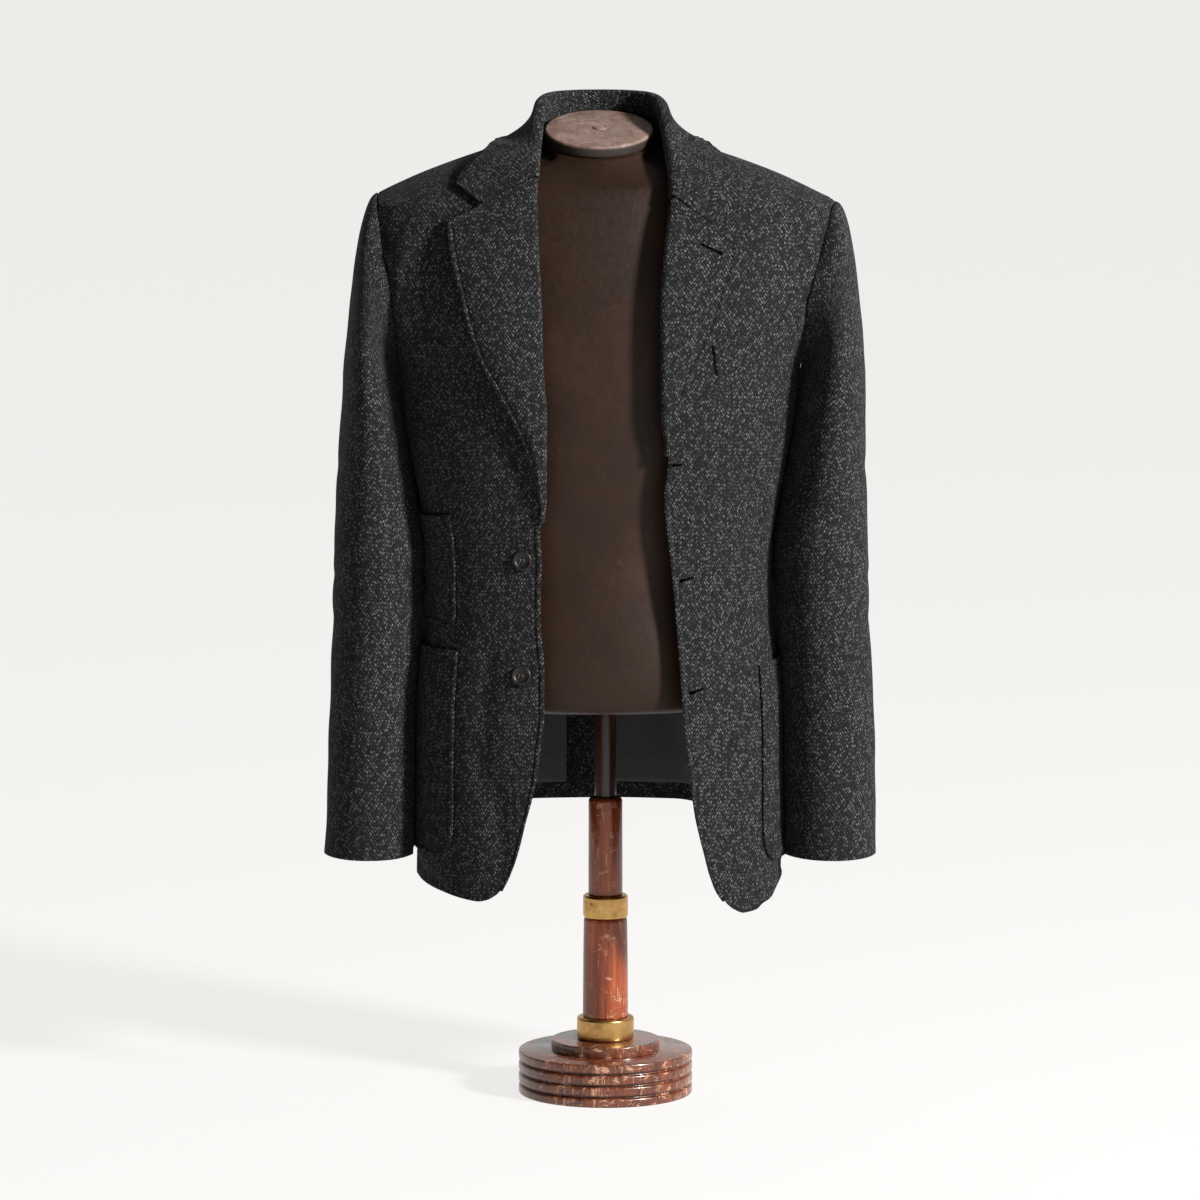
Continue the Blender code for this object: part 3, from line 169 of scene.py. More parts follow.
# Soft folds: side, start angle and height, end angle and height, half width, rise
FOLDS = [
    (RIGHT, 52, 866, 61, 768, 8, 3),
    (RIGHT, 43, 862, 46.5, 780, 9, -3.5),
    (RIGHT, 36, 455, 38, 330, 13, -2.5),
    (RIGHT, 32, 330, 30, 262, 12, -3),
    (RIGHT, 128, 640, 145, 560, 14, -3.5),
    (RIGHT, 118, 520, 150, 500, 14, 3),
    (LEFT, 52, 875, 54, 835, 9, -2.5),
    (LEFT, 44, 420, 42, 300, 16, -2),
    (LEFT, 130, 650, 146, 575, 14, -3.5),
    (LEFT, 120, 515, 152, 490, 14, 3),
    (LEFT, 158, 430, 156, 300, 16, 2.5),
    (RIGHT, 150, 420, 154, 300, 15, 3),
]
DEGREE_MM = 3                 # one degree of ring is about this long


# Stations from the gorge to the centre of the back. Visible fold (x, y, z), twist of
# the fold (0 lies flat, 90 stands up), where the outer edge lies on the coat: ring
# height and angle, and how far its face stands off there.
COLLAR_MIDDLE = (0, 64.5, 1004, 90, 952, 180, 4.2)
COLLAR_STATIONS = {
    RIGHT: [
        # x     y      z      twist  edge_z  angle  off
        (60.4, -84.5, 929, 0, 921, 44.5, 3.6),
        (60.5, -72, 943.5, 12, 933, 52, 3.4),
        (60.3, -52, 957, 30, 944, 62, 3.2),
        (59.5, -30, 977, 55, 951, 75, 3),
        (58.5, -4, 994, 76, 954, 92, 3),
        (56.5, 20, 1001, 88, 953, 112, 3.2),
        (47, 42, 1003.5, 90, 952.5, 135, 3.6),
        (26, 59, 1004, 90, 952, 158, 4),
        COLLAR_MIDDLE,
    ],
    LEFT: [
        (69.5, -96, 912, 0, 898, 34.5, 3.6),
        (70, -84.3, 927.5, 8, 914, 41, 3.4),
        (67.5, -63, 949.5, 28, 930, 51, 3.2),
        (65, -32, 972, 52, 946, 68, 3),
        (62.5, -5, 992, 75, 954, 92, 3),
        (59, 20, 1000.5, 88, 953, 112, 3.2),
        (48, 42, 1003.5, 90, 952.5, 135, 3.6),
        (26.5, 59, 1004, 90, 952, 158, 4),
        COLLAR_MIDDLE,
    ],
}
NOTCH_X = {RIGHT: 114.5, LEFT: 109}
GORGE_GAP = 1.2                 # collar above lapel, measured upright
COLLAR_ROLL = 2.6               # hollow inside the collar's fold
COLLAR_CLOTH = 2.2
FOOT_GAP = (2.4, 1)           # neck edge to stand: at the gorge, at the back


# Sleeve rings: height, outer x right and left, inner x, forward shift, half depth
SLEEVE_SECTIONS = [
    # z     outer_r  outer_l  inner  shift  depth
    (247, 274, 275, 189.5, 14, 50),
    (300, 270.5, 274.5, 188.5, 13, 51),
    (350, 269, 273.5, 188, 12, 53),
    (400, 267, 272, 187.5, 10, 55.5),
    (450, 266, 270, 184, 8, 58),
    (500, 264.8, 267.5, 179, 6, 60.5),
    (550, 263.4, 266.3, 178.5, 4, 63),
    (600, 261, 265.2, 185, 2, 66),
    (650, 258.5, 264, 194, 1, 71),
    (700, 254.8, 263.6, 201.5, 0, 77),
    (730, 253.2, 263.4, 206, 0, 80),
]
TUCK = [
    # z     how far the under sleeve tucks in behind the body
    (247, 18),
    (400, 20),
    (450, 26),
    (520, 22),
    (650, 18),
    (712, 14),
    (730, 8),
]
TUCK_TURN = 228
TUCK_HALF_TURN = 42
SLEEVE_CLEAR = [
    # z     gap to the coat's side
    (200, 6.2),
    (440, 6.6),
    (490, 6.5),
    (540, 3.2),
    (690, 3.2),
    (712, 5),
    (730, 5.9),
]
CUFF_Z = 247
SLEEVE_TOP_Z = 730
CAP_POINT = {RIGHT: (238, 904.5), LEFT: (250, 897.5)}  # where the crown turns over
HEAD_SINK = 2.2                 # how far the sleeve's head is let down at the shoulder
FORE_SEAM = 138               # seams, from the top of the ring forwards
HIND_SEAM = 250
SLEEVE_FOLDS = [
    # turn  z      half turn  half height  rise
    (60, 590, 40, 13, -2),
    (75, 555, 36, 12, 1.6),
    (110, 600, 30, 12, -2.5),
    (300, 600, 34, 14, -2.2),
    (40, 470, 44, 14, -1.6),
    (95, 430, 30, 14, -1.4),
]


POCKETS = [
    # name, side, first and last angle, bottom, top, slant of the mouth, corner
    ("ticket_pocket", RIGHT, 53.5, 84, 484, 596, -6, 9),
    ("hip_pocket_right", RIGHT, 50.5, 108, 255, 460, 0, 26),
    ("hip_pocket_left", LEFT, 61, 118, 246, 443, 10, 26),
]
WELT_START = (111.5, 768.5)
WELT_END = (196.5, 798)
WELT_HEIGHT = 29


# Rings of the form's body: height, half width, depth to the front, depth to the back
FORM_SECTIONS = [
    # z   width front back
    (396, 120, 72, 70),
    (398, 140, 88, 86),
    (406, 153, 99, 97),
    (430, 157, 103, 100),
    (470, 152, 102, 96),
    (520, 143, 98, 90),
    (560, 142, 97, 88),
    (610, 148, 101, 92),
    (670, 158, 107, 99),
    (730, 167, 109, 104),
    (790, 174, 107, 107),
    (840, 179, 101, 106),
    (880, 179, 92, 101),
    (905, 172, 84, 95),
    (920, 160, 78, 91),
]
SEAT_RINGS = (929, 937, 945, 952, 958)
THROAT_DIP = 28


STITCH_INSET = 5.6              # from an edge to its line of stitches
# More of the folds, each narrow and soft: as in FOLDS
FINE_FOLDS = [
    (RIGHT, 59.6, 676, 61.6, 600, 6.5, 2.4),
    (RIGHT, 52.6, 672, 53.8, 600, 4.5, -1.6),
    (RIGHT, 84, 262, 72, 250, 9, 1.8),
    (RIGHT, 78, 238, 58, 224, 6, -2.2),
    (RIGHT, 88, 280, 80, 236, 8, -1.8),
    (LEFT, 70, 262, 82, 246, 8, 1.8),
    (LEFT, 78, 240, 92, 232, 8, -2),
    (LEFT, 60, 868, 60, 820, 7, 2),
    (RIGHT, 70, 720, 60, 640, 20, -1.5),
    (LEFT, 70, 720, 62, 640, 20, -1.5),
] + [
    (side, *fold) for side in (RIGHT, LEFT) for fold in (
        (100, 700, 120, 600, 16, -2), (165, 900, 140, 850, 16, -1.5))
]
FINE_SLEEVE_FOLDS = [row + (0,) for row in SLEEVE_FOLDS] + [
    # turn  z      half turn  half height  rise  lean of the fold
    (20, 640, 40, 9, -1.2, 0.25),
    (30, 520, 46, 9, -1.6, -0.2),
    (70, 500, 40, 9, 1.4, 0.3),
    (130, 560, 36, 8, 1.8, -0.3),
    (150, 530, 36, 9, -2, 0.3),
    (330, 560, 30, 9, -1.6, -0.3),
    (350, 480, 44, 10, -1.4, 0.3),
    (60, 350, 40, 12, -1, 0.2),
    (290, 640, 34, 10, -1.8, 0.3),
    (50, 790, 26, 30, -2, 0),
]


# ---------------------------------------------------------------- reading the tables
def smooth_table(rows, column=1):
    """A table's column as a function, on a smooth curve through its rows."""
    keys = np.array([row[0] for row in rows], float)
    values = np.array([row[column] for row in rows], float)
    spans = np.diff(keys)
    rises = np.diff(values) / spans
    before, after = rises[:-1], rises[1:]
    total = np.where(before + after == 0, 1, before + after)
    inner = np.where(before * after > 0, 2 * before * after / total, 0)
    slopes = np.concatenate([[rises[0]], inner, [rises[-1]]])

    def read(key):
        key = np.clip(key, keys[0], keys[-1])
        place = np.clip(np.searchsorted(keys, key, side="right") - 1, 0, len(keys) - 2)
        span = spans[place]
        t = (key - keys[place]) / span
        return ((2 * t ** 3 - 3 * t ** 2 + 1) * values[place]
                + (t ** 3 - 2 * t ** 2 + t) * slopes[place] * span
                + (3 * t ** 2 - 2 * t ** 3) * values[place + 1]
                + (t ** 3 - t ** 2) * slopes[place + 1] * span)

    return read


def mix(low, high, share):
    return low + (high - low) * share


def smooth_step(low, high, value):
    share = np.clip((value - low) / (high - low), 0, 1)
    return share * share * (3 - 2 * share)


def xyz(x, y, z):
    return np.stack(np.broadcast_arrays(x, y, z), axis=-1).astype(float)


def unit(vectors):
    return vectors / np.maximum(np.linalg.norm(vectors, axis=-1, keepdims=True), 1e-9)


def through(points, places, axis=0):
    """Smooth curve through points along one axis, read at places counted in points."""
    points = np.moveaxis(points, axis, 0)
    last = len(points) - 1
    index = np.clip(np.floor(places).astype(int), 0, last - 1)
    share = (places - index).reshape((-1,) + (1,) * (points.ndim - 1))
    low, high = points[index], points[index + 1]
    before = np.where((index == 0).reshape(share.shape), 2 * low - high,
                      points[np.maximum(index - 1, 0)])
    after = np.where((index == last - 1).reshape(share.shape), 2 * high - low,
                     points[np.minimum(index + 2, last)])
    slope0, slope1 = 0.5 * (high - before), 0.5 * (after - low)
    read = ((2 * share ** 3 - 3 * share ** 2 + 1) * low
            + (share ** 3 - 2 * share ** 2 + share) * slope0
            + (3 * share ** 2 - 2 * share ** 3) * high
            + (share ** 3 - share ** 2) * slope1)
    return np.moveaxis(read, 0, axis)


# ---------------------------------------------------------------- the coat's body form
half_width = smooth_table(BODY_SECTIONS, 1)
depth = {FRONT: smooth_table(BODY_SECTIONS, 2), BACK: smooth_table(BODY_SECTIONS, 3)}
armhole_x = {RIGHT: smooth_table(ARMHOLE, 1), LEFT: smooth_table(ARMHOLE, 2)}
front_line = {side: smooth_table(FRONT_EDGE[side]) for side in (RIGHT, LEFT)}
front_hem = {side: smooth_table(FRONT_HEM[side]) for side in (RIGHT, LEFT)}
lapel_line = {side: smooth_table(LAPEL_EDGE[side]) for side in (RIGHT, LEFT)}
lapel_lift = {side: smooth_table(LAPEL_LIFT[side]) for side in (RIGHT, LEFT)}


def make_waves(count, shortest, longest, seed):
    """Directions, phases and strengths of gentle waves in hung cloth."""
    draw = np.random.default_rng(seed)
    ways = unit(draw.normal(size=(count, 3)) * (1, 1, 0.6))
    lengths = draw.uniform(shortest, longest, count)
    return ways * (2 * np.pi / lengths)[:, None], draw.uniform(0, 6.28, count)


BODY_WAVES = make_waves(14, 42, 150, 3)
SLEEVE_WAVES = make_waves(14, 36, 120, 5)


def ripple(points, waves, size):
    ways, phases = waves
    return size * np.sin(points @ ways.T + phases).mean(axis=-1)


def ring_measure(points):
    """1 on the coat's surface, less inside and more outside."""
    x, y, z = points[..., 0], points[..., 1], points[..., 2]
    power = 2 / SQUARENESS
    through_y = np.where(y < 0, depth[FRONT](z), depth[BACK](z))
    return ((np.abs(x) / half_width(z)) ** power
            + (np.abs(y) / through_y) ** power) ** (1 / power)


def ring_slope(points, step=0.4):
    slopes = [(ring_measure(points + way) - ring_measure(points - way)) / (2 * step)
              for way in np.eye(3) * step]
    return np.stack(slopes, axis=-1)


def fold_rise(side, angle, z):
    total = np.zeros(np.broadcast(angle, z).shape)
    for fold_side, angle0, z0, angle1, z1, width, rise in FOLDS + FINE_FOLDS:
        if fold_side != side:
            continue
        way_x, way_z = (angle1 - angle0) * DEGREE_MM, z1 - z0
        here_x, here_z = (angle - angle0) * DEGREE_MM, z - z0
        share = (here_x * way_x + here_z * way_z) / (way_x ** 2 + way_z ** 2)
        share = np.clip(share, 0, 1)
        away = (here_x - way_x * share) ** 2 + (here_z - way_z * share) ** 2
        total = total + rise * np.exp(-away / width ** 2)
    return total


def body_point(side, angle, z, out=0):
    """Points on the coat's form: 0 degrees is the front, 180 the back."""
    angle, z, out = (np.asarray(part, float) for part in np.broadcast_arrays(angle, z, out))
    turn = np.radians(angle)
    face = np.where(angle < 90, -depth[FRONT](z), depth[BACK](z))
    x = side * half_width(z) * np.maximum(np.sin(turn), 0) ** SQUARENESS
    points = xyz(x, face * np.abs(np.cos(turn)) ** SQUARENESS, z)
    lift = out + fold_rise(side, angle, z) + ripple(points, BODY_WAVES, 1.6)
    points = points + unit(ring_slope(points)) * lift[..., None]
    return points + COAT_CENTRE


def angle_at(x, z, face):
    """Ring angle of a point seen at x from the front or the back."""
    share = np.minimum(np.abs(x) / half_width(z), 1)
    turn = np.minimum(np.degrees(np.arcsin(share ** (1 / SQUARENESS))), 89.92)
    return turn if face == FRONT else 180 - turn


def flat_point(side, x, z, face, out=0):
    return body_point(side, angle_at(x, z, face), z, out)


def halve(low, high, goes_up):
    """Halve the span between two heights until the test's turning point is found."""
    for _ in range(36):
        middle = 0.5 * (low + high)
        up = goes_up(middle)
        low, high = np.where(up, middle, low), np.where(up, high, middle)
    return 0.5 * (low + high)


def ridge_z(x):
    """Height of the shoulder line at x."""
    top = np.full(np.shape(x), NECK_POINT[1])
    low = np.full(np.shape(x), BODY_SECTIONS[18][0])
    return halve(low, top, lambda z: half_width(z) > x)


def armhole_angle(side, z):
    share = np.minimum(armhole_x[side](z) / half_width(z), 1)
    return np.degrees(np.arcsin(share ** (1 / SQUARENESS)))


def armhole_bottom(side, angle):
    """Height of the armhole's lower edge at an angle."""
    turn = np.where(np.asarray(angle) < 90, angle, 180 - np.asarray(angle))
    low = np.full(turn.shape, ARMPIT_Z)
    high = np.full(turn.shape, 800)
    return halve(low, high, lambda z: armhole_angle(side, z) > turn)


# ---------------------------------------------------------------- rows and columns
YOKE_SHARE = 0.625              # part of the rows that lies below the yoke
LOW_LINE = np.linspace(0, 1, 121)
HIGH_LINE = np.linspace(0, 1, 71)[1:]
LOWER = LOW_LINE ** 1.15
UPPER = np.sin(0.5 * np.pi * HIGH_LINE)
UP = np.concatenate([YOKE_SHARE * LOW_LINE, YOKE_SHARE + (1 - YOKE_SHARE) * HIGH_LINE])
RIM_STEPS = np.array([0, 0.7, 1.5, 2.4, 3.4, 4.3, 5, 5.6, 6.2, 7, 8.2, 10])


def crowd(count, length, first=False, last=False):
    """Shares from 0 to 1 that lie close together near a stitched edge."""
    shares = np.linspace(0, 1, count)
    near = RIM_STEPS / length
    if first:
        shares = np.concatenate([near, shares[shares > near[-1] + 0.5 / count]])
    if last:
        shares = np.concatenate([shares[shares < 1 - near[-1] - 0.5 / count],
                                 1 - near[::-1]])
    return shares


def rows_up(low, yoke, top):
    return np.concatenate([mix(low, yoke, LOWER), mix(yoke, top, UPPER)])


def coons(left, right, bottom, top, across):
    """Points inside four edges of (x, z) points."""
    s, t = across[None, :, None], UP[:, None, None]
    low = bottom[None] - mix(left[0], right[0], across[:, None])[None]
    high = top[None] - mix(left[-1], right[-1], across[:, None])[None]
    return mix(left[:, None], right[:, None], s) + (1 - t) ** 3 * low + t ** 3 * high


# ---------------------------------------------------------------- the panels' faces
def roll_depth(side, z):
    grown = smooth_step(BREAK_Z[side], BREAK_Z[side] + 60, z)
    return mix(BREAK_RADIUS, ROLL_RADIUS, grown) + CLOTH


def front_edge_x(side, z):
    gorge = GORGE_Z[side]
    low = np.minimum(z, gorge)
    reach = np.clip((low - BREAK_Z[side] + 34) / 30, 0, 1)
    x = front_line[side](low) + reach * (roll_depth(side, low) + EDGE_CLEAR)
    share = np.maximum((z - gorge) / (NECK_POINT[1] - gorge), 0)
    return mix(x, NECK_POINT[0], share)


def side_hem_z(side, angle):
    angle = np.asarray(angle, float)
    x = half_width(225) * np.sin(np.radians(np.minimum(angle, 90))) ** SQUARENESS
    back = mix(SIDE_HEM_Z[side], BACK_HEM_Z, smooth_step(92, 158, angle))
    return np.where(angle <= 90, front_hem[side](x), back)


def side_edge(side, face):
    """Side seam and then armhole, as (x, z) points from the hem to the shoulder tip."""
    seam = SIDE_SEAM[side][0 if face == FRONT else 1]
    gap = 0.5 * SEAM_GAP / DEGREE_MM * face
    turn = math.radians(seam + gap)
    top = float(armhole_bottom(side, np.array(seam)))
    low_z = mix(float(side_hem_z(side, seam)), top, LOWER)
    high_z = mix(top, TIP_Z[side], UPPER)
    low_x = half_width(low_z) * math.sin(turn) ** SQUARENESS
    high_x = armhole_x[side](high_z) - 0.5 * SEAM_GAP
    high_x[-1] = half_width(TIP_Z[side]) - 0.5 * SEAM_GAP
    return np.stack([np.concatenate([low_x, high_x]), np.concatenate([low_z, high_z])], 1)


def spread(count, widest):
    """Shares across a panel, even in ring angle."""
    return np.sin(np.radians(np.linspace(0, widest, count))) / math.sin(math.radians(widest))


def front_face(side):
    near = RIM_STEPS / 150
    across = spread(46, 66)
    across = np.concatenate([near, across[across > near[-1] + 0.012]])
    hem = FRONT_HEM[side]
    z = rows_up(hem[0][1], YOKE_Z, NECK_POINT[1])
    edge = np.stack([front_edge_x(side, z), z], 1)
    seam = side_edge(side, FRONT)
    low_x = mix(hem[0][0], seam[0][0], across)
    high_x = mix(NECK_POINT[0], seam[-1][0], across)
    bottom = np.stack([low_x, front_hem[side](low_x)], 1)
    top = np.stack([high_x, ridge_z(high_x)], 1)
    bottom[-1], top[-1] = seam[0], seam[-1]
    grid = coons(edge, seam, bottom, top, across)
    return flat_point(side, grid[..., 0], grid[..., 1], FRONT)


def back_face(side):
    neck_share = 0.4
    line = np.linspace(0, 1, 51)
    across = spread(51, 68)
    z = rows_up(BACK_HEM_Z, YOKE_Z, BACK_NECK_Z)
    middle = np.stack([np.full(z.shape, 0.25), z], 1)
    seam = side_edge(side, BACK)
    low_x = mix(middle[0][0], seam[0][0], across)
    bottom = np.stack([low_x, side_hem_z(side, angle_at(low_x, 260, BACK))], 1)
    turn = np.radians(90 * np.minimum(line / neck_share, 1))
    neck_x = np.maximum(NECK_POINT[0] * np.sin(turn), 0.25)
    neck_z = mix(NECK_POINT[1], BACK_NECK_Z, np.cos(turn) ** 2)
    share = np.maximum(line - neck_share, 0) / (1 - neck_share)
    far_x = mix(NECK_POINT[0], seam[-1][0], share)
    on_neck = line <= neck_share
    top = np.stack([np.where(on_neck, neck_x, far_x),
                    np.where(on_neck, neck_z, ridge_z(far_x))], 1)
    bottom[0], bottom[-1], top[-1] = middle[0], seam[0], seam[-1]
    grid = coons(middle, seam, bottom, top, across)
    return flat_point(side, grid[..., 0], grid[..., 1], BACK)


def side_face(side):
    gap = 0.5 * SEAM_GAP / DEGREE_MM
    angle = np.linspace(SIDE_SEAM[side][0] + gap, SIDE_SEAM[side][1] - gap, 30)[None, :]
    z = mix(side_hem_z(side, angle), armhole_bottom(side, angle), LOWER[:, None])
    return body_point(side, angle, z)


LAPEL_TURNS = np.linspace(-75, 90, 18)
LAPEL_BELLY = {RIGHT: 4, LEFT: 0.8}


def lapel_face(side):
    """Round the fold and out to the lapel's edge, row by row upwards."""
    share = mix(0.02, 1, crowd(100, 300, last=True))[:, None]
    roll_z = mix(BREAK_Z[side], GORGE_Z[side], share)
    edge_z = mix(BREAK_Z[side], LAPEL_POINT_Z[side], share)
    outer = roll_depth(side, roll_z)
    inner = outer - CLOTH
    fold_x = front_line[side](roll_z)
    centre = fold_x + outer
    edge_x = np.maximum(lapel_line[side](edge_z), centre + 1.5)
    slope = (edge_z - roll_z) / (edge_x - fold_x)
    turn = np.radians(LAPEL_TURNS)[None, :]
    out = crowd(34, 70, last=True)[None, 1:]
    x = np.concatenate([centre - outer * np.cos(turn), mix(centre, edge_x, out)], 1)
    belly = LAPEL_BELLY[side] * np.sin(np.pi * share) * np.sin(np.pi * out)
    leaf = mix(inner + outer, lapel_lift[side](share), out * out * (3 - 2 * out))
    lift = np.concatenate([inner + outer * np.sin(turn), leaf + belly], 1)
    face = flat_point(side, x, roll_z + (x - fold_x) * slope, FRONT, lift)
    return face, x


# ---------------------------------------------------------------- collar
COLLAR_ARC = 18                 # columns from the foot of the stand round the fold
COLLAR_FALL = crowd(26, 46, last=True)[1:]
NOTCH_SHARE = 2 / 3         # of the way from the fold to the collar's tip
NOTCH_LIFT = 4.6


def neckline(side, share):
    """Foot of the collar's stand: 0 is the gorge, 1 the middle of the back."""
    if share <= 0.5:
        z = mix(GORGE_Z[side], NECK_POINT[1], 2 * share)
        start = float(front_edge_x(side, np.array(GORGE_Z[side])))
        return flat_point(side, mix(start, NECK_POINT[0], 2 * share), z, FRONT, -CLOTH)
    turn = math.radians(180 * (1 - share))
    z = mix(NECK_POINT[1], BACK_NECK_Z, math.cos(turn) ** 2)
    return flat_point(side, NECK_POINT[0] * math.sin(turn), z, BACK, -CLOTH)


def clear_of_coat(points, least):
    """Move points out until they stand off the coat's form by at least this much."""
    moved = points - COAT_CENTRE
    for _ in range(4):
        rise = ring_slope(moved)
        steep = np.maximum(np.linalg.norm(rise, axis=-1), 1e-6)
        short = least - (ring_measure(moved) - 1) / steep
        short = np.where(moved[..., 2] < 985, np.maximum(short, 0), 0)
        moved = moved + unit(rise) * short[..., None]
    return moved + COAT_CENTRE


def collar_section(side, station):
    """Foot of the stand, up round the fold, and down to the outer edge."""
    rows = COLLAR_STATIONS[side]
    last = len(rows) - 1
    x, y, z, twist, edge_z, edge_angle, off = rows[station]
    roll = np.array((side * x + COAT_CENTRE_X, y, z))
    before, after = rows[station - 1], rows[min(station + 1, last)]
    along = np.array((side * (after[0] - before[0]), after[1] - before[1],
                      after[2] - before[2]))
    if station == last:
        along = np.array((-side, 0, 0))
    along = unit(along)
    back = float(smooth_step(-20, 64.5, y)) if y > -20 else 0
    outward = np.array((side * (1 - back), back, 0))
    outward = unit(outward - along * outward.dot(along))
    upward = np.cross(outward, along)
    upward = -upward if upward[2] < 0 else upward
    turn = math.radians(twist)
    fold_way = -outward * math.cos(turn) + upward * math.sin(turn)
    face_way = upward * math.cos(turn) + outward * math.sin(turn)
    outer = COLLAR_ROLL + COLLAR_CLOTH
    centre = roll - fold_way * outer
    foot = neckline(side, station / last) + fold_way * mix(*FOOT_GAP, twist / 90)
    bend = np.radians(np.linspace(-60, 70, COLLAR_ARC - 4))[:, None]
    bend = centre + outer * (fold_way * np.cos(bend) + face_way * np.sin(bend))
    stand = mix(foot, bend[0], np.linspace(0, 1, 5)[:4, None])
    edge = body_point(side, edge_angle, edge_z, off)
    start = centre + face_way * outer
    pull = start - fold_way * np.linalg.norm(edge - start) * 0.42
    share = COLLAR_FALL[:, None]
    fall = start * (1 - share) ** 2 + pull * 2 * share * (1 - share) + edge * share ** 2
    fall = clear_of_coat(fall, COLLAR_CLOTH + 1.4)
    return np.concatenate([stand, bend, fall])


def gorge_section(side):
    """The collar's end: over the fold, along the gorge to the notch, up to the tip."""
    gorge = GORGE_Z[side]
    outer = float(roll_depth(side, gorge))
    inner = outer - CLOTH
    fold_x = float(front_line[side](gorge))
    point_x = float(lapel_line[side](LAPEL_POINT_Z[side]))
    slope = (LAPEL_POINT_Z[side] - gorge) / (point_x - fold_x)
    centre = fold_x + outer
    tip_z, tip_angle, tip_lift = COLLAR_STATIONS[side][0][4:]
    tip_x = abs(body_point(side, tip_angle, tip_z)[0] - COAT_CENTRE_X)
    turn = np.radians(np.linspace(-72, 80, COLLAR_ARC))
    to_notch = np.minimum(COLLAR_FALL / NOTCH_SHARE, 1)
    to_tip = np.maximum(COLLAR_FALL - NOTCH_SHARE, 0) / (1 - NOTCH_SHARE)
    notch_x = NOTCH_X[side]
    x = mix(mix(centre, notch_x, to_notch), tip_x, to_tip)
    lift = mix(mix(inner + outer, NOTCH_LIFT, smooth_step(0, 1, to_notch)), tip_lift,
               to_tip)
    z = gorge + GORGE_GAP + (np.minimum(x, notch_x) - fold_x) * slope
    z = mix(z, tip_z, to_tip)
    arc_x = centre - outer * np.cos(turn)
    arc_z = gorge + GORGE_GAP + (arc_x - fold_x) * slope
    return flat_point(side, np.concatenate([arc_x, x]), np.concatenate([arc_z, z]), FRONT,
                      np.concatenate([inner + outer * np.sin(turn), lift]))


def collar_face():
    last = len(COLLAR_STATIONS[RIGHT]) - 1
    rows = [gorge_section(RIGHT)]
    rows += [collar_section(RIGHT, station) for station in range(1, last + 1)]
    rows += [collar_section(LEFT, station) for station in range(last - 1, 0, -1)]
    rows.append(gorge_section(LEFT))
    places = np.linspace(0, 2 * last, 190)
    near = RIM_STEPS / 20
    places = np.concatenate([near, places[(places > 0.6) & (places < 2 * last - 0.6)],
                             2 * last - near[::-1]])
    face = through(np.array(rows), places)
    face[:, COLLAR_ARC:] = clear_of_coat(face[:, COLLAR_ARC:], COLLAR_CLOTH + 1.2)
    return face


# ---------------------------------------------------------------- sleeves
sleeve_size = [smooth_table(SLEEVE_SECTIONS, column) for column in range(1, 6)]
sleeve_tuck, sleeve_clear = smooth_table(TUCK), smooth_table(SLEEVE_CLEAR)


def armhole_loop(side, turn):
    """The armhole's loop, from the shoulder tip forwards, just outside the panels."""
    level, reach = 0.5 * (TIP_Z[side] + ARMPIT_Z), 0.5 * (TIP_Z[side] - ARMPIT_Z)
    z = level + reach * np.cos(np.radians(turn))
    angle = armhole_angle(side, z)
    angle = np.where(turn > 180, 180 - angle, angle)
    return body_point(side, angle, z) + (side * 2 * SEAM_GAP, 0, 0)


def body_reach(y, z):
    """How far the coat's side reaches out where its ring is y deep."""
    deep = np.where(y < 0, depth[FRONT](z), depth[BACK](z))
    share = np.minimum(np.abs(y) / deep, 1)
    return half_width(z) * (1 - share ** (2 / SQUARENESS)) ** (0.5 * SQUARENESS)


def sleeve_ring_point(side, turn, z):
    outer = sleeve_size[0 if side == RIGHT else 1](z)
    inner, shift, half_depth = (size(z) for size in sleeve_size[2:])
    angle = np.radians(turn)
    rise = np.zeros(np.broadcast(turn, z).shape)
    for fold_turn, fold_z, half_turn, half_height, height, lean in FINE_SLEEVE_FOLDS:
        away = (turn - fold_turn + 180) % 360 - 180
        level = z - fold_z - lean * away
        rise = rise + height * np.exp(-(away / half_turn) ** 2 - (level / half_height) ** 2)
    x = 0.5 * (outer + inner) + (0.5 * (outer - inner) + rise) * np.cos(angle)
    y = -shift - (half_depth + rise) * np.sin(angle)
    tuck = sleeve_tuck(z) * np.exp(-((turn - TUCK_TURN) / TUCK_HALF_TURN) ** 2)
    x = np.maximum(x - tuck, body_reach(y, z) + sleeve_clear(z))
    return xyz(side * x + COAT_CENTRE_X, y, z)


def sleeve_face(side, first, last, columns):
    turn = np.linspace(first, last, columns)[None, :] % 360
    low = np.linspace(CUFF_Z, SLEEVE_TOP_Z, 131)[:, None]
    ring = sleeve_ring_point(side, turn, low)
    share = 1 - np.linspace(0, 1, 41)[1:, None]
    start, end = armhole_loop(side, turn), sleeve_ring_point(side, turn, SLEEVE_TOP_Z)
    crown = 0.5 + 0.5 * np.cos(np.radians(turn))
    pull = xyz(mix(end[..., 0], side * CAP_POINT[side][0] + COAT_CENTRE_X, crown),
               mix(end[..., 1], 0.5 * (start[..., 1] + end[..., 1]), 0.4),
               mix(start[..., 2], CAP_POINT[side][1], crown ** 3))
    share = share[..., None]
    cap = start * (1 - share) ** 2 + pull * 2 * share * (1 - share) + end * share ** 2
    sink = HEAD_SINK * crown ** 2 * smooth_step(0.5, 0, share[..., 0])
    cap[..., 2] = cap[..., 2] - sink
    face = np.concatenate([ring, cap])
    soft = ripple(face, SLEEVE_WAVES, 2) * smooth_step(910, 850, face[..., 2])
    return face + grid_normals(face, side == RIGHT) * soft[..., None]


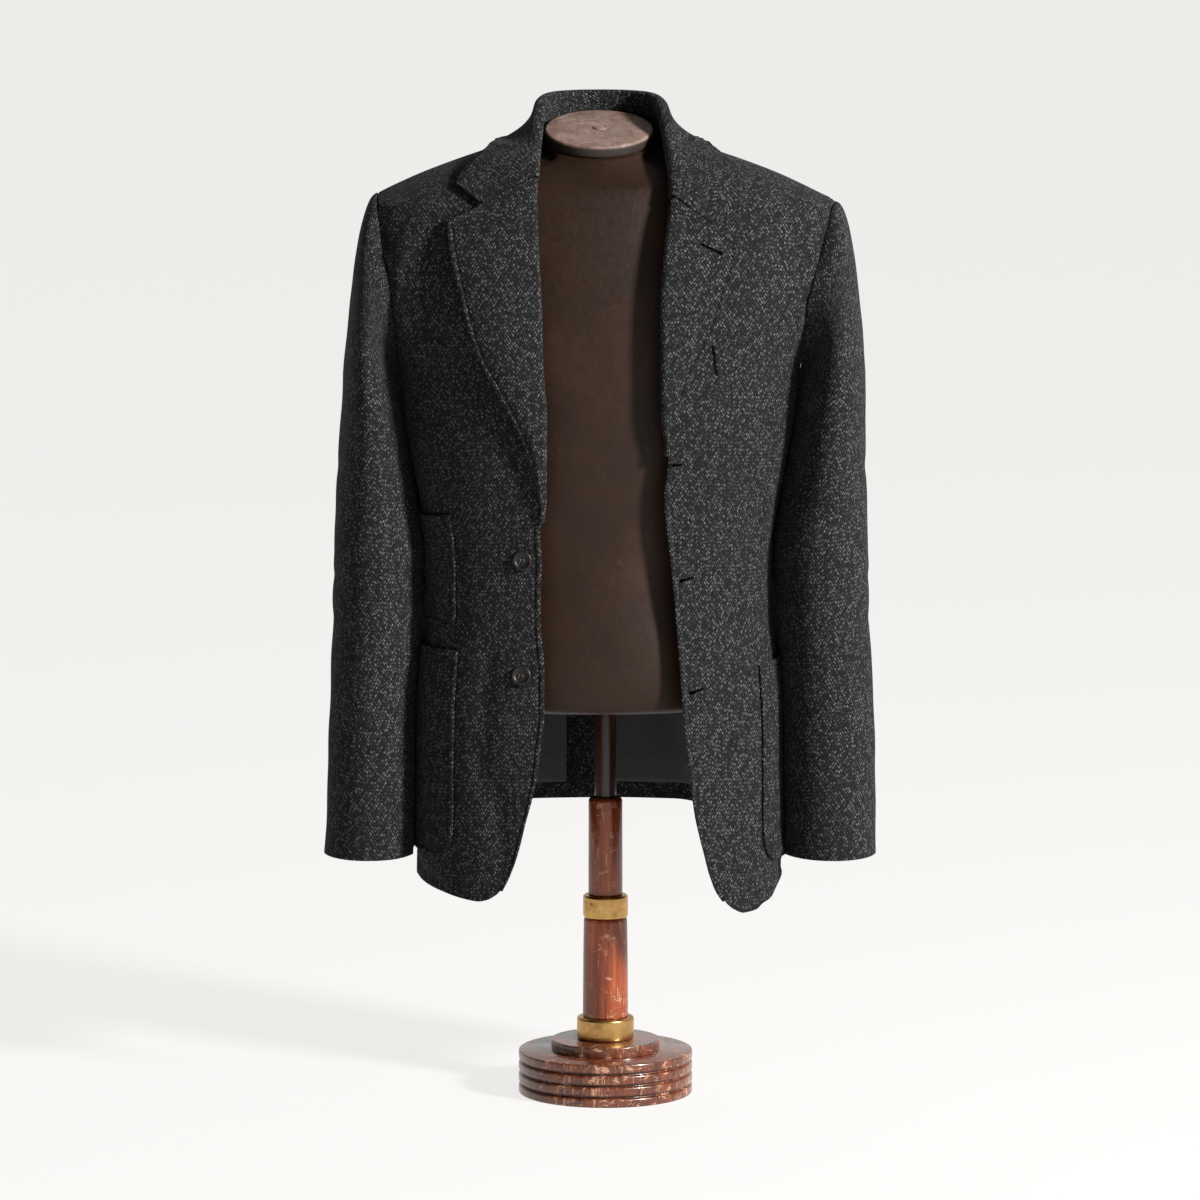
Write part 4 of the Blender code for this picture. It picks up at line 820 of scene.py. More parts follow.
# ---------------------------------------------------------------- pockets and strips
def pocket_face(side, first, last, low, high, slant, corner):
    share = crowd(26, (last - first) * DEGREE_MM, True, True)[None, :]
    z = mix(low, high, crowd(52, high - low, True, True))[:, None]
    short = np.maximum(1 - (z - low) / corner, 0)
    inset = corner * (1 - np.sqrt(1 - short * short)) / DEGREE_MM
    angle = mix(first + inset, last - inset, share)
    lean = slant * share * (z - low) / (high - low)
    slack = 1.3 * np.sin(np.pi * share) * smooth_step(high - 70, high, z)
    return body_point(side, angle, z + lean, LAID_GAP + CLOTH + slack)


def welt_face():
    along = crowd(44, 88, True, True)[None, :]
    share = crowd(16, WELT_HEIGHT, False, True)[:, None]
    x = mix(WELT_START[0] + 3.5 * (1 - share), WELT_END[0], along)
    top = mix(WELT_START[1], WELT_END[1], along) - 3 * np.sin(np.pi * along)
    return flat_point(LEFT, x, top - WELT_HEIGHT * (1 - share), FRONT, LAID_GAP + CLOTH)


def lining_face(side, last):
    angle = np.linspace(98, last, 34)[None, :]
    share = np.linspace(0, 1, 60)[:, None]
    z = mix(side_hem_z(side, angle) + 17, 560, share)
    pleat = 0.8 * np.sin(np.radians(angle) * 14) * smooth_step(0, 0.35, share)
    return body_point(side, angle, z, -(CLOTH + 1.2) - 0.6 + 0.6 * pleat)


def vent_face():
    x = np.linspace(-25, 1.5, 14)[None, :]
    z = np.linspace(BACK_HEM_Z + 1, VENT_TOP_Z, 60)[:, None]
    right, left = (flat_point(side, np.abs(x), z, BACK, -(CLOTH + 0.6))
                   for side in (RIGHT, LEFT))
    return np.where((x < 0)[..., None], right, left)


# ---------------------------------------------------------------- making cloth
def run(points, axis):
    """Length walked along the rows (axis 1) or up the columns (axis 0)."""
    steps = np.linalg.norm(np.diff(points, axis=axis), axis=-1)
    start = np.zeros_like(np.take(steps, [0], axis=axis))
    return np.concatenate([start, np.cumsum(steps, axis=axis)], axis=axis)


def from_border(points, border):
    """Distance of each point from one border of its grid."""
    axis = 1 if border in ("first", "last") else 0
    length = run(points, axis)
    if border in ("last", "top"):
        length = np.take(length, [-1], axis=axis) - length
    return length


def grid_normals(points, flip):
    normal = unit(np.cross(np.gradient(points, axis=1), np.gradient(points, axis=0)))
    return -normal if flip else normal


def swell(away):
    """Rise of the cloth near a stitched edge: a padded rib, then the stitches' groove."""
    return (0.9 * np.exp(-((away - 2.4) / 2.1) ** 2)
            - 0.9 * np.exp(-((away - STITCH_INSET) / 1) ** 2))


def weave_map(points, across=0, plumb=True):
    """Where each point lies in its cloth, in mm: across the stripes and along them."""
    if plumb:
        level = points.copy()
        level[..., 2] = 0
        upright = points.copy()
        upright[..., 0] = 0
        rise = np.diff(points[..., 2], axis=0)
        extra = np.linalg.norm(np.diff(upright, axis=0), axis=-1) - np.abs(rise)
        extra = np.where(points[1:, :, 2] > 860, extra, 0)
        extra = np.concatenate([np.zeros_like(extra[:1]), np.cumsum(extra, axis=0)])
        return across + run(level, 1), points[..., 2] + extra
    return across + run(points, 1), run(points, 0)


def put(name, data):
    thing = bpy.data.objects.new(name, data)
    bpy.context.scene.collection.objects.link(thing)
    return thing


def make_mesh(name, points, faces, finish, uv=None):
    mesh = bpy.data.meshes.new(name)
    mesh.from_pydata((np.asarray(points) * MM).tolist(), [], faces)
    mesh.shade_smooth()
    if uv is not None:
        loops = np.empty(len(mesh.loops), int)
        mesh.loops.foreach_get("vertex_index", loops)
        layer = mesh.uv_layers.new(name="weave")
        layer.data.foreach_set("uv", (uv[loops] * MM).ravel())
    mesh.materials.append(finish)
    return put(name, mesh)


def cloth_wall(name, face, flip, finish, uv, thick=CLOTH, swelled=(), weight=1):
    """Cloth with a rounded rim all round, behind a grid of points on its face."""
    normal = grid_normals(face, flip)
    if swelled:
        away = np.min([from_border(face, border) for border in swelled], axis=0)
        face = face + normal * (swell(away) * weight)[..., None]
        normal = grid_normals(face, flip)
    rows, columns = face.shape[:2]
    outward = np.zeros_like(face)
    outward[:, 0] += unit(face[:, 0] - face[:, 1])
    outward[:, -1] += unit(face[:, -1] - face[:, -2])
    outward[0] += unit(face[0] - face[1])
    outward[-1] += unit(face[-1] - face[-2])
    outward = unit(outward - normal * (outward * normal).sum(-1, keepdims=True))
    index = np.arange(rows * columns).reshape(rows, columns)
    rim = np.concatenate([index[0], index[1:, -1], index[-1, -2::-1], index[-2:0:-1, 0]])
    flat_face, flat_normal = face.reshape(-1, 3), normal.reshape(-1, 3)
    layers = [flat_face, flat_face - flat_normal * thick]
    rings = [rim]
    count = 2 * rows * columns
    for deep, proud in ((0.2, 0.22), (0.5, 0.32), (0.8, 0.22)):
        layers.append(flat_face[rim] + (outward.reshape(-1, 3)[rim] * proud
                                        - flat_normal[rim] * deep) * thick)
        rings.append(count + np.arange(len(rim)))
        count += len(rim)
    rings.append(rim + rows * columns)
    quads = np.stack([index[:-1, :-1], index[:-1, 1:], index[1:, 1:], index[1:, :-1]], -1)
    quads = quads.reshape(-1, 4)
    faces = [quads, quads[:, ::-1] + rows * columns]
    for near, far in zip(rings, rings[1:]):
        faces.append(np.stack([np.roll(near, -1), near, far, np.roll(far, -1)], -1))
    faces = np.concatenate(faces)
    if flip:
        faces = faces[:, ::-1]
    uv = np.stack([part.ravel() for part in uv], -1)
    uv = np.concatenate([uv, uv] + [uv[rim]] * 3)
    return make_mesh(name, np.concatenate(layers), faces.tolist(), finish, uv), face


def finish_piece(thing, slot, *nodes):
    """Ride on the stand, and stand for the plain solids."""
    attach(thing, "root")
    if nodes:
        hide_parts(*nodes)


# ---------------------------------------------------------------- turned pieces
def ring_faces(rows, columns, up=False):
    """Faces round rings of points, with a middle point after them to close each end."""
    index = np.arange(rows * columns).reshape(rows, columns)
    after = np.roll(index, -1, axis=1)
    faces = np.stack([index[1:], after[1:], after[:-1], index[:-1]], -1)
    faces = faces.reshape(-1, 4).tolist()
    ends = rows * columns
    faces += [(ends, int(a), int(b)) for a, b in zip(index[0], after[0])]
    faces += [(ends + 1, int(b), int(a)) for a, b in zip(index[-1], after[-1])]
    return [face[::-1] for face in faces] if up else faces


def lathe(name, profile, finish, steps=96, centre=(0, 0, 0), turn=None):
    """A profile of (radius, height), from the top down, spun round an upright line."""
    profile = np.array(profile, float)
    angle = np.linspace(0, 2 * np.pi, steps, endpoint=False)[None, :]
    radius, height = profile[:, 0][:, None], profile[:, 1][:, None]
    ring = xyz(radius * np.cos(angle), radius * np.sin(angle), height).reshape(-1, 3)
    top, bottom = (0, 0, profile[0, 1]), (0, 0, profile[-1, 1])
    points = np.concatenate([ring, [top], [bottom]])
    if turn is not None:
        points = points @ np.array(turn.to_3x3()).T
    return make_mesh(name, points + centre, ring_faces(len(profile), steps), finish)


def rounded(corners, radius=0.8, steps=4):
    """A profile whose inner corners are rounded off."""
    corners = [np.array(corner, float) for corner in corners]
    points = [corners[0]]
    for before, corner, after in zip(corners, corners[1:], corners[2:]):
        reach0 = min(radius, 0.45 * np.linalg.norm(before - corner))
        reach1 = min(radius, 0.45 * np.linalg.norm(after - corner))
        start = corner + unit(before - corner) * reach0
        end = corner + unit(after - corner) * reach1
        for share in np.linspace(0, 1, steps):
            points.append(start * (1 - share) ** 2 + corner * 2 * share * (1 - share)
                          + end * share ** 2)
    points.append(corners[-1])
    return points


# ---------------------------------------------------------------- finishes
class Finish:
    """A material and short ways to add its nodes."""

    def __init__(self, name, roughness, metallic=0, **sockets):
        self.material = bpy.data.materials.new(name)
        self.material.use_nodes = True
        self.tree = self.material.node_tree
        self.shader = self.tree.nodes["Principled BSDF"]
        self.shader.inputs["Roughness"].default_value = roughness
        self.shader.inputs["Metallic"].default_value = metallic
        for socket, value in sockets.items():
            self.shader.inputs[socket.replace("_", " ")].default_value = value

    def node(self, kind, inputs=(), **settings):
        made = self.tree.nodes.new("ShaderNode" + kind)
        for key, value in settings.items():
            setattr(made, key, value)
        for key, value in dict(inputs).items():
            if isinstance(value, bpy.types.NodeSocket):
                self.tree.links.new(value, made.inputs[key])
            else:
                made.inputs[key].default_value = value
        return made

    def sum(self, operation, *values):
        return self.node("Math", enumerate(values), operation=operation).outputs[0]

    def times(self, first, second):
        return self.sum("MULTIPLY", first, second)

    def plus(self, first, second):
        return self.sum("ADD", first, second)

    def minus(self, first, second):
        return self.sum("SUBTRACT", first, second)

    def place(self, scale=(1, 1, 1)):
        coords = self.node("TexCoord").outputs["Object"]
        return self.node("Mapping", {"Vector": coords, "Scale": scale}).outputs[0]

    def noise(self, vector, scale, detail=3, roughness=0.55):
        return self.node("TexNoise", {"Vector": vector, "Scale": scale, "Detail": detail,
                                      "Roughness": roughness}).outputs["Fac"]

    def ramp(self, value, stops):
        made = self.node("ValToRGB", {"Fac": value})
        marks = made.color_ramp.elements
        while len(marks) < len(stops):
            marks.new(0.5)
        for mark, (position, colour) in zip(marks, stops):
            mark.position = position
            mark.color = (*colour, 1) if isinstance(colour, tuple) else (*[colour] * 3, 1)
        return made.outputs["Color"]

    def blend(self, share, first, second, kind="MIX"):
        made = self.node("Mix", {0: share}, data_type="RGBA", blend_type=kind)
        for slot_number, value in ((6, first), (7, second)):
            if isinstance(value, bpy.types.NodeSocket):
                self.tree.links.new(value, made.inputs[slot_number])
            else:
                made.inputs[slot_number].default_value = (*value, 1)
        return made.outputs[2]

    def bump(self, height, distance, strength):
        return self.node("Bump", {"Height": height, "Distance": distance,
                                  "Strength": strength}).outputs[0]

    def wire(self, socket, value):
        self.tree.links.new(value, self.shader.inputs[socket])


STRIPE_MM = 9.6                 # width of one way of the herringbone
TWILL_MM = 2.45                 # from one twill line to the next
YARN_MM = 4.2                   # length of one float of yarn


def tweed_finish(name, ground, middle, light, gain=1):
    """Charcoal herringbone: twill lines that turn at each stripe, with pale flecks."""
    f = Finish(name, 0.92, Sheen_Weight=0.03, Sheen_Roughness=0.5,
               Specular_IOR_Level=0.08)
    f.shader.inputs["Sheen Tint"].default_value = (0.8, 0.8, 0.82, 1)
    uv = f.node("UVMap", uv_map="weave").outputs[0]
    spot = f.node("SeparateXYZ", {0: uv})
    wander = f.noise(uv, 90, 2)
    wander = f.sum("MULTIPLY_ADD", wander, 1.4, -0.7)
    across = f.times(spot.outputs[0], 1000)
    along = f.times(spot.outputs[1], 1000)
    across = f.plus(across, wander)
    fold = f.sum("PINGPONG", across, STRIPE_MM)
    stripe = f.sum("FLOOR", f.sum("DIVIDE", across, STRIPE_MM))
    slip = f.times(stripe, 0.5)
    phase = f.plus(f.times(along, 0.54), f.times(fold, 0.84))
    phase = f.plus(f.sum("DIVIDE", phase, TWILL_MM), slip)
    line = f.sum("FLOOR", phase)
    spread_line = f.sum("ABSOLUTE", f.minus(f.sum("FRACT", phase), 0.5))
    twill = f.node("MapRange", {0: spread_line, 1: 0.42, 2: 0.05, 3: 0, 4: 1},
                   interpolation_type="SMOOTHSTEP").outputs[0]
    float_way = f.minus(f.times(fold, 0.54),
                      f.times(along, 0.84))
    shift = f.node("TexWhiteNoise", {"W": line}, noise_dimensions="1D").outputs[0]
    float_way = f.plus(f.sum("DIVIDE", float_way, YARN_MM),
                      f.times(shift, 7))
    cell = f.node("CombineXYZ", {0: line, 1: f.sum("FLOOR", float_way), 2: stripe})
    chance = f.node("TexWhiteNoise", {"Vector": cell.outputs[0]},
                    noise_dimensions="3D").outputs[0]
    ends = f.sum("ABSOLUTE", f.minus(f.sum("FRACT", float_way), 0.5))
    ends = f.node("MapRange", {0: ends, 1: 0.5, 2: 0.16, 3: 0, 4: 1},
                  interpolation_type="SMOOTHSTEP").outputs[0]
    thread = f.times(twill, ends)
    fleck = f.sum("POWER", chance, 2.2)
    colour = f.blend(f.times(thread, f.sum("MULTIPLY_ADD", chance, 0.8, 0.2)),
                     ground, middle)
    colour = f.blend(f.times(thread, fleck), colour, light)
    melange = f.noise(uv, 520, 3, 0.7)
    melange = f.ramp(melange, [(0.3, 0.55), (0.7, 1.45)])
    colour = f.blend(1, colour, melange, "MULTIPLY")
    broad = f.ramp(f.noise(f.place(), 7, 2), [(0.3, 0.92), (0.7, 1.06)])
    f.wire("Base Color", f.blend(1, colour, broad, "MULTIPLY"))
    fuzz = f.noise(uv, 1400, 2, 0.7)
    height = f.plus(f.times(thread, 0.8), f.times(fuzz, 0.5))
    f.wire("Normal", f.bump(height, 0.00035, 0.8 * gain))
    return f.material


def thread_finish(name, low, high):
    f = Finish(name, 0.8, Specular_IOR_Level=0.2)
    f.wire("Base Color", f.ramp(f.noise(f.place(), 900), [(0.3, low), (0.7, high)]))
    return f.material


def lining_finish():
    f = Finish("black_lining", 0.42, Sheen_Weight=0.15)
    uv = f.node("UVMap", uv_map="weave").outputs[0]
    grain = f.node("TexWave", {"Vector": uv, "Scale": 900, "Distortion": 1},
                   bands_direction="Y").outputs["Fac"]
    soft = f.noise(uv, 40, 3)
    f.wire("Base Color", f.ramp(soft, [(0.3, (0.006, 0.006, 0.007)),
                                       (0.8, (0.02, 0.019, 0.021))]))
    f.wire("Normal", f.bump(f.plus(grain, f.times(soft, 3)), 0.0002, 0.5))
    return f.material


def horn_finish():
    f = Finish("dark_horn", 0.42, Specular_IOR_Level=0.35)
    streaks = f.noise(f.place((260, 90, 90)), 1, 4)
    f.wire("Base Color", f.ramp(streaks, [(0.3, (0.004, 0.0035, 0.003)),
                                          (0.75, (0.014, 0.01, 0.0075))]))
    f.wire("Roughness", f.ramp(f.noise(f.place(), 700), [(0.3, 0.36), (0.8, 0.55)]))
    return f.material


def cover_finish():
    """The form's lacquered, slightly lumpy cover, rubbed paler here and there."""
    f = Finish("brown_form_cover", 0.5, Specular_IOR_Level=0.22)
    broad = f.noise(f.place(), 9, 5, 0.6)
    fine = f.noise(f.place(), 160, 4, 0.65)
    colour = f.ramp(broad, [(0.3, (0.011, 0.0045, 0.002)), (0.55, (0.019, 0.0078, 0.0035)),
                            (0.75, (0.03, 0.0135, 0.0065))])
    rub = f.ramp(f.noise(f.place((1, 1, 0.5)), 55, 6, 0.75),
                 [(0.64, 0), (0.72, 0.35)])
    colour = f.blend(rub, colour, (0.06, 0.034, 0.022))
    f.wire("Base Color", colour)
    f.wire("Roughness", f.ramp(fine, [(0.3, 0.42), (0.7, 0.62)]))
    height = f.plus(f.times(broad, 2), f.times(fine, 0.35))
    f.wire("Normal", f.bump(height, 0.0015, 0.45))
    return f.material


def wood_finish(name, dark, middle, pale, roughness, coat, wear, sound=0.66,
                grain=(1, 1, 0.06), tilt=None):
    """Turned wood: upright grain, darker pores, worn and scratched where it is handled; given
    a tilt, the rim below the top face is painted dark as shade.
    """
    f = Finish(name, roughness, Coat_Weight=coat, Coat_Roughness=0.12)
    figure = f.noise(f.place(grain), 95, 6, 0.6)
    pores = f.noise(f.place((grain[0] * 9, grain[1] * 9, grain[2] * 6)), 95, 3)
    colour = f.ramp(figure, [(0.28, dark), (0.52, middle), (0.74, pale)])
    pore = f.ramp(pores, [(0.34, 0.45), (0.46, 1)])
    colour = f.blend(1, colour, pore, "MULTIPLY")
    blotch = f.ramp(f.noise(f.place(), 22, 4), [(0.35, 0.75), (0.7, 1.2)])
    colour = f.blend(1, colour, blotch, "MULTIPLY")
    scratch = f.noise(f.place((240, 240, 22)), 1, 5, 0.8)
    chips = f.noise(f.place((1, 1, 1.6)), 75, 8, 0.8)
    worn = f.sum("MAXIMUM", f.ramp(scratch, [(sound, 0), (sound + 0.03, 1)]),
                 f.ramp(chips, [(sound - 0.02, 0), (sound + 0.01, 1)]))
    worn = f.times(worn, wear)
    colour = f.blend(worn, colour, (0.46, 0.25, 0.14))
    # Given the cap's tilt, all that lies below its top face is painted near-black brown:
    # painted shade on the cap's rim.
    if tilt is not None:
        spot = f.node("SeparateXYZ", {0: f.place()})
        height = f.minus(f.times(spot.outputs[2], math.cos(tilt)),
                       f.times(spot.outputs[1], math.sin(tilt)))
        top = CAP_CENTRE_Z * MM * math.cos(tilt)
        above = f.node("MapRange", {0: height, 1: top - 3.5 * MM,
                                              2: top - 1.2 * MM}).outputs[0]
        colour = f.blend(above, (0.016, 0.008, 0.005), colour)
    f.wire("Base Color", colour)
    rough = f.ramp(figure, [(0.3, roughness - 0.06), (0.7, roughness + 0.12)])
    f.wire("Roughness", f.sum("MULTIPLY_ADD", worn, 0.3, rough))
    height = f.minus(f.times(pores, 0.4), worn)
    f.wire("Normal", f.bump(height, 0.0003, 0.5))
    return f.material


def brass_finish():
    f = Finish("aged_brass", 0.34, 1)
    tarnish = f.noise(f.place((1, 1, 1.6)), 60, 6, 0.7)
    lines = f.noise(f.place((14, 14, 900)), 1, 3)
    f.wire("Base Color", f.ramp(tarnish, [(0.3, (0.24, 0.12, 0.04)),
                                          (0.45, (0.48, 0.27, 0.09)),
                                          (0.72, (0.62, 0.38, 0.14))]))
    rough = f.ramp(tarnish, [(0.3, 0.42), (0.65, 0.2)])
    f.wire("Roughness", f.sum("MULTIPLY_ADD", lines, 0.08, rough))
    f.wire("Normal", f.bump(f.plus(lines, tarnish), 0.0002, 0.15))
    return f.material


# ---------------------------------------------------------------- sewing
def stitch_tree(finish):
    """Beads of thread set one after another along a path, each turned to follow it."""
    tree = bpy.data.node_groups.new("sewn_" + finish.name, "GeometryNodeTree")
    tree.interface.new_socket("Path", in_out="INPUT", socket_type="NodeSocketGeometry")
    sizes = {}
    for label in ("Spacing", "Length", "Thickness"):
        sizes[label] = tree.interface.new_socket(label, in_out="INPUT",
                                                 socket_type="NodeSocketFloat").identifier
    tree.interface.new_socket("Stitches", in_out="OUTPUT",
                              socket_type="NodeSocketGeometry")
    make = tree.nodes.new
    given, result = make("NodeGroupInput"), make("NodeGroupOutput")
    even = make("GeometryNodeResampleCurve")
    even.mode = "LENGTH"
    bead = make("GeometryNodeMeshUVSphere")
    for label, value in (("Segments", 6), ("Rings", 5), ("Radius", 0.5)):
        bead.inputs[label].default_value = value
    tangent = make("GeometryNodeInputTangent")
    align = make("FunctionNodeAlignRotationToVector")
    align.axis = "Z"
    scale = make("ShaderNodeCombineXYZ")
    put_beads = make("GeometryNodeInstanceOnPoints")
    real, dress = make("GeometryNodeRealizeInstances"), make("GeometryNodeSetMaterial")
    dress.inputs["Material"].default_value = finish
    for start, out, end, into in (
            (given, "Path", even, "Curve"), (given, "Spacing", even, "Length"),
            (even, "Curve", put_beads, "Points"), (bead, "Mesh", put_beads, "Instance"),
            (tangent, 0, align, "Vector"), (align, 0, put_beads, "Rotation"),
            (given, "Thickness", scale, "X"), (given, "Thickness", scale, "Y"),
            (given, "Length", scale, "Z"), (scale, 0, put_beads, "Scale"),
            (put_beads, "Instances", real, "Geometry"), (real, "Geometry", dress, "Geometry"),
            (dress, "Geometry", result, "Stitches")):
        tree.links.new(start.outputs[out], end.inputs[into])
    return tree, sizes


def sew(name, paths, tree, sizes, closed=False, **lengths):
    """Run stitches along paths in mm and keep them as a plain mesh."""
    curve = bpy.data.curves.new(name + "_path", "CURVE")
    curve.dimensions = "3D"
    for path in paths:
        spline = curve.splines.new("POLY")
        spline.points.add(len(path) - 1)
        flat = np.concatenate([np.asarray(path) * MM, np.ones((len(path), 1))], 1)
        spline.points.foreach_set("co", flat.ravel())
        spline.use_cyclic_u = closed
    guide = put(name + "_path", curve)
    sewing = guide.modifiers.new("sewing", "NODES")
    sewing.node_group = tree
    for label, value in lengths.items():
        sewing[sizes[label]] = value * MM
    evaluated = guide.evaluated_get(bpy.context.evaluated_depsgraph_get())
    mesh = bpy.data.meshes.new_from_object(evaluated)
    bpy.data.objects.remove(guide)
    mesh.shade_smooth()
    return put(name, mesh)


def line_inside(face, border, inset):
    """The line of points a fixed way inside one border of a grid."""
    if border in ("top", "bottom"):
        face = np.swapaxes(face, 0, 1)
    if border in ("last", "top"):
        face = face[:, ::-1]
    line = []
    for row, walked in zip(face, run(face, 1)):
        if walked[-1] > 2.2 * inset:
            line.append([np.interp(inset, walked, row[:, axis]) for axis in range(3)])
    return np.array(line)


def tube(name, path, radius, finish, sides=8):
    """A round thread or bar along a path, closed at both ends."""
    path = np.asarray(path, float)
    way = unit(np.gradient(path, axis=0))
    side = unit(np.cross(way, (0.31, 0.17, 0.93)))
    other = np.cross(way, side)
    turn = np.linspace(0, 2 * np.pi, sides, endpoint=False)[None, :, None]
    rings = path[:, None] + radius * (np.cos(turn) * side[:, None]
                                      + np.sin(turn) * other[:, None])
    index = np.arange(len(path) * sides).reshape(len(path), sides)
    after = np.roll(index, -1, axis=1)
    faces = np.stack([index[:-1], after[:-1], after[1:], index[1:]], -1).reshape(-1, 4)
    faces = faces.tolist() + [index[0][::-1].tolist(), index[-1].tolist()]
    return make_mesh(name, rings.reshape(-1, 3), faces, finish)


def join(name, things):
    """Several meshes as one piece."""
    points, faces, offset = [], [], 0
    finish = things[0].data.materials[0]
    for thing in things:
        mesh = thing.data
        points += [tuple(vertex.co / MM) for vertex in mesh.vertices]
        faces += [[index + offset for index in face.vertices] for face in mesh.polygons]
        offset += len(mesh.vertices)
        bpy.data.objects.remove(thing)
    return make_mesh(name, points, faces, finish)


# ---------------------------------------------------------------- the coat
def build_coat(tweed, lining, thread):
    """Every cut piece of the coat, its sewn edges and the lines of its stitches."""
    made, lines = {}, []

    def add(name, face, flip, across=0, swelled=(), stitched=(), finish=tweed,
            thick=CLOTH, plumb=True, weight=1, slot="cloth"):
        uv = weave_map(face, across, plumb)
        made[name], shown = cloth_wall(name + "_cloth", face, flip, finish, uv, thick,
                                       swelled, weight)
        finish_piece(made[name], slot, name)
        for border in stitched:
            lines.append(line_inside(shown, border, STITCH_INSET))
        return shown

    for side in (RIGHT, LEFT):
        label, flip = SIDE_NAMES[side], side == RIGHT
        face = front_face(side)
        free = smooth_step(BREAK_Z[side] + 20, BREAK_Z[side] - 12, face[..., 2])
        shown = add("front_" + label, face, flip, face[:, :1, 0] * side, ("first",),
                    weight=free)
        edge = line_inside(shown, "first", STITCH_INSET)
        lines.append(edge[edge[:, 2] < BREAK_Z[side] - 8])
        add("side_" + label, side_face(side), flip, 230)
        add("back_" + label, back_face(side), not flip, 0)
        face, x = lapel_face(side)
        wide = smooth_step(9, 16, run(face, 1)[:, -1:] - 14)
        at_point = smooth_step(NOTCH_X[side] - 4, NOTCH_X[side] + 3, x)
        rib = swell(from_border(face, "last")) * wide
        top = swell(from_border(face, "top")) * at_point
        near_top = from_border(face, "top") < from_border(face, "last")
        rise = np.where(near_top & (at_point > 0.5), top, rib)
        face = face + grid_normals(face, flip) * rise[..., None]
        add("lapel_" + label, face, flip, 11)
        edge = line_inside(face, "last", STITCH_INSET)
        lines.append(edge[int(0.2 * len(edge)):-12])
        for part, first, last, columns in (
                ("top_sleeve_", HIND_SEAM - 359.75, FORE_SEAM - 0.25, 92),
                ("under_sleeve_", FORE_SEAM + 0.25, HIND_SEAM - 0.25, 46)):
            add(part + label, sleeve_face(side, first, last, columns), flip,
                plumb=False)
        add("lining_" + label, lining_face(side, 171 if flip else 178.5), flip,
            finish=lining, thick=LINING, slot="lining")
    add("collar", collar_face(), False, plumb=False, swelled=("last",),
        stitched=("last",), thick=COLLAR_CLOTH)
    add("vent_underlap", vent_face(), True)
    for name, side, *sizes in POCKETS:
        add(name, pocket_face(side, *sizes), side == RIGHT, 4,
            ("first", "last", "bottom", "top"), ("first", "last", "bottom"))
    add("breast_welt", welt_face(), False, 3, ("last", "top", "first"),
        ("last", "top", "first"))

    tree, sizes = stitch_tree(thread)
    lines = [line for line in lines if len(line) > 3]
    picks = sew("pick_stitches", lines, tree, sizes, Spacing=7, Length=2.4,
                Thickness=0.75)
    finish_piece(picks, "cloth")
    dart = sew("dart_seam", [on_cloth(made["front_right"], DART, -0.1)], tree, sizes,
               Spacing=1.2, Length=1.5, Thickness=0.9)
    finish_piece(dart, "cloth")
    build_buttonholes(made, tree, sizes, thread)
    return made


DART = np.linspace((-172, 676), (-162.6, 600), 40)      # from the chest to the pocket


BUTTONHOLES = [
    # on which piece, eye end (x, z), other end (x, z)
    ("front_left", (69, 650.3), (81.5, 651)),
    ("front_left", (78.6, 534), (93, 537.6)),
    ("front_left", (88.6, 422.2), (103.2, 426.6)),
    ("lapel_left", (120.6, 858), (99.2, 868.6)),
]


def on_cloth(thing, places, lift):
    """Points on a piece's outer face, straight ahead of places given as (x, z)."""
    faces = BVHTree.FromPolygons([vertex.co / MM for vertex in thing.data.vertices],
                                 [face.vertices for face in thing.data.polygons])
    line = []
    for x, z in places:
        spot, normal = faces.ray_cast(Vector((x, -400, z)), Vector((0, 1, 0)))[:2]
        line.append(spot + normal * lift)
    return np.array(line)


def build_buttonholes(made, tree, sizes, thread):
    """A worked hole: a rim of close stitches round a dark slit with a wider eye."""
    rims, slits = [], []
    dark = Finish("slit_shadow", 1, Specular_IOR_Level=0)
    dark.shader.inputs["Base Color"].default_value = (0.0008, 0.0008, 0.0008, 1)
    for name, eye, end in BUTTONHOLES:
        eye, end = (np.array(place) + (COAT_CENTRE_X, 0) for place in (eye, end))
        length = np.linalg.norm(end - eye)
        way = (end - eye) / length
        aside = np.array((-way[1], way[0]))
        turn = np.linspace(0, 2 * np.pi, 40, endpoint=False)
        walked = 0.5 * length * (1 - np.cos(turn))
        half = 1.25 + 1 * np.exp(-((walked - 2) / 2.4) ** 2)
        half = half * np.minimum(1, 3 * np.abs(np.sin(turn))) * np.sign(np.sin(turn))
        outline = eye + walked[:, None] * way + half[:, None] * aside
        inner = eye + walked[:, None] * way + 0.82 * half[:, None] * aside
        rims.append(on_cloth(made[name], outline, 0.1))
        layers = [on_cloth(made[name], inner, rise) for rise in (0.4, -0.5)]
        ring = np.arange(40)
        after = np.roll(ring, -1)
        faces = np.stack([ring, after, after + 40, ring + 40], -1).tolist()
        faces += [ring[::-1].tolist(), (ring + 40).tolist()]
        slits.append(make_mesh(name, np.concatenate(layers), faces, dark.material))
    rim = sew("buttonhole_stitches", rims, tree, sizes, closed=True, Spacing=0.85,
              Length=1, Thickness=0.9)
    finish_piece(rim, "cloth")
    finish_piece(join("buttonhole_slits", slits), "cloth")


BUTTONS = [("button_middle", 75.4, 555.3), ("button_bottom", 76.5, 441)]
BUTTON_SEAT = 0.35
BUTTON_PROFILE = [
    (0.01, 2.1), (5.4, 2.15), (6.4, 2.5), (7.2, 3.3), (8.1, 3.85), (8.9, 3.8), (9.6, 3.3),
    (10, 2.4), (9.8, 1.5), (9, 0.8), (7, 0.3), (0.01, 0.2),
]
HOLE_REACH = 1.75               # from the button's middle to each hole, along both ways


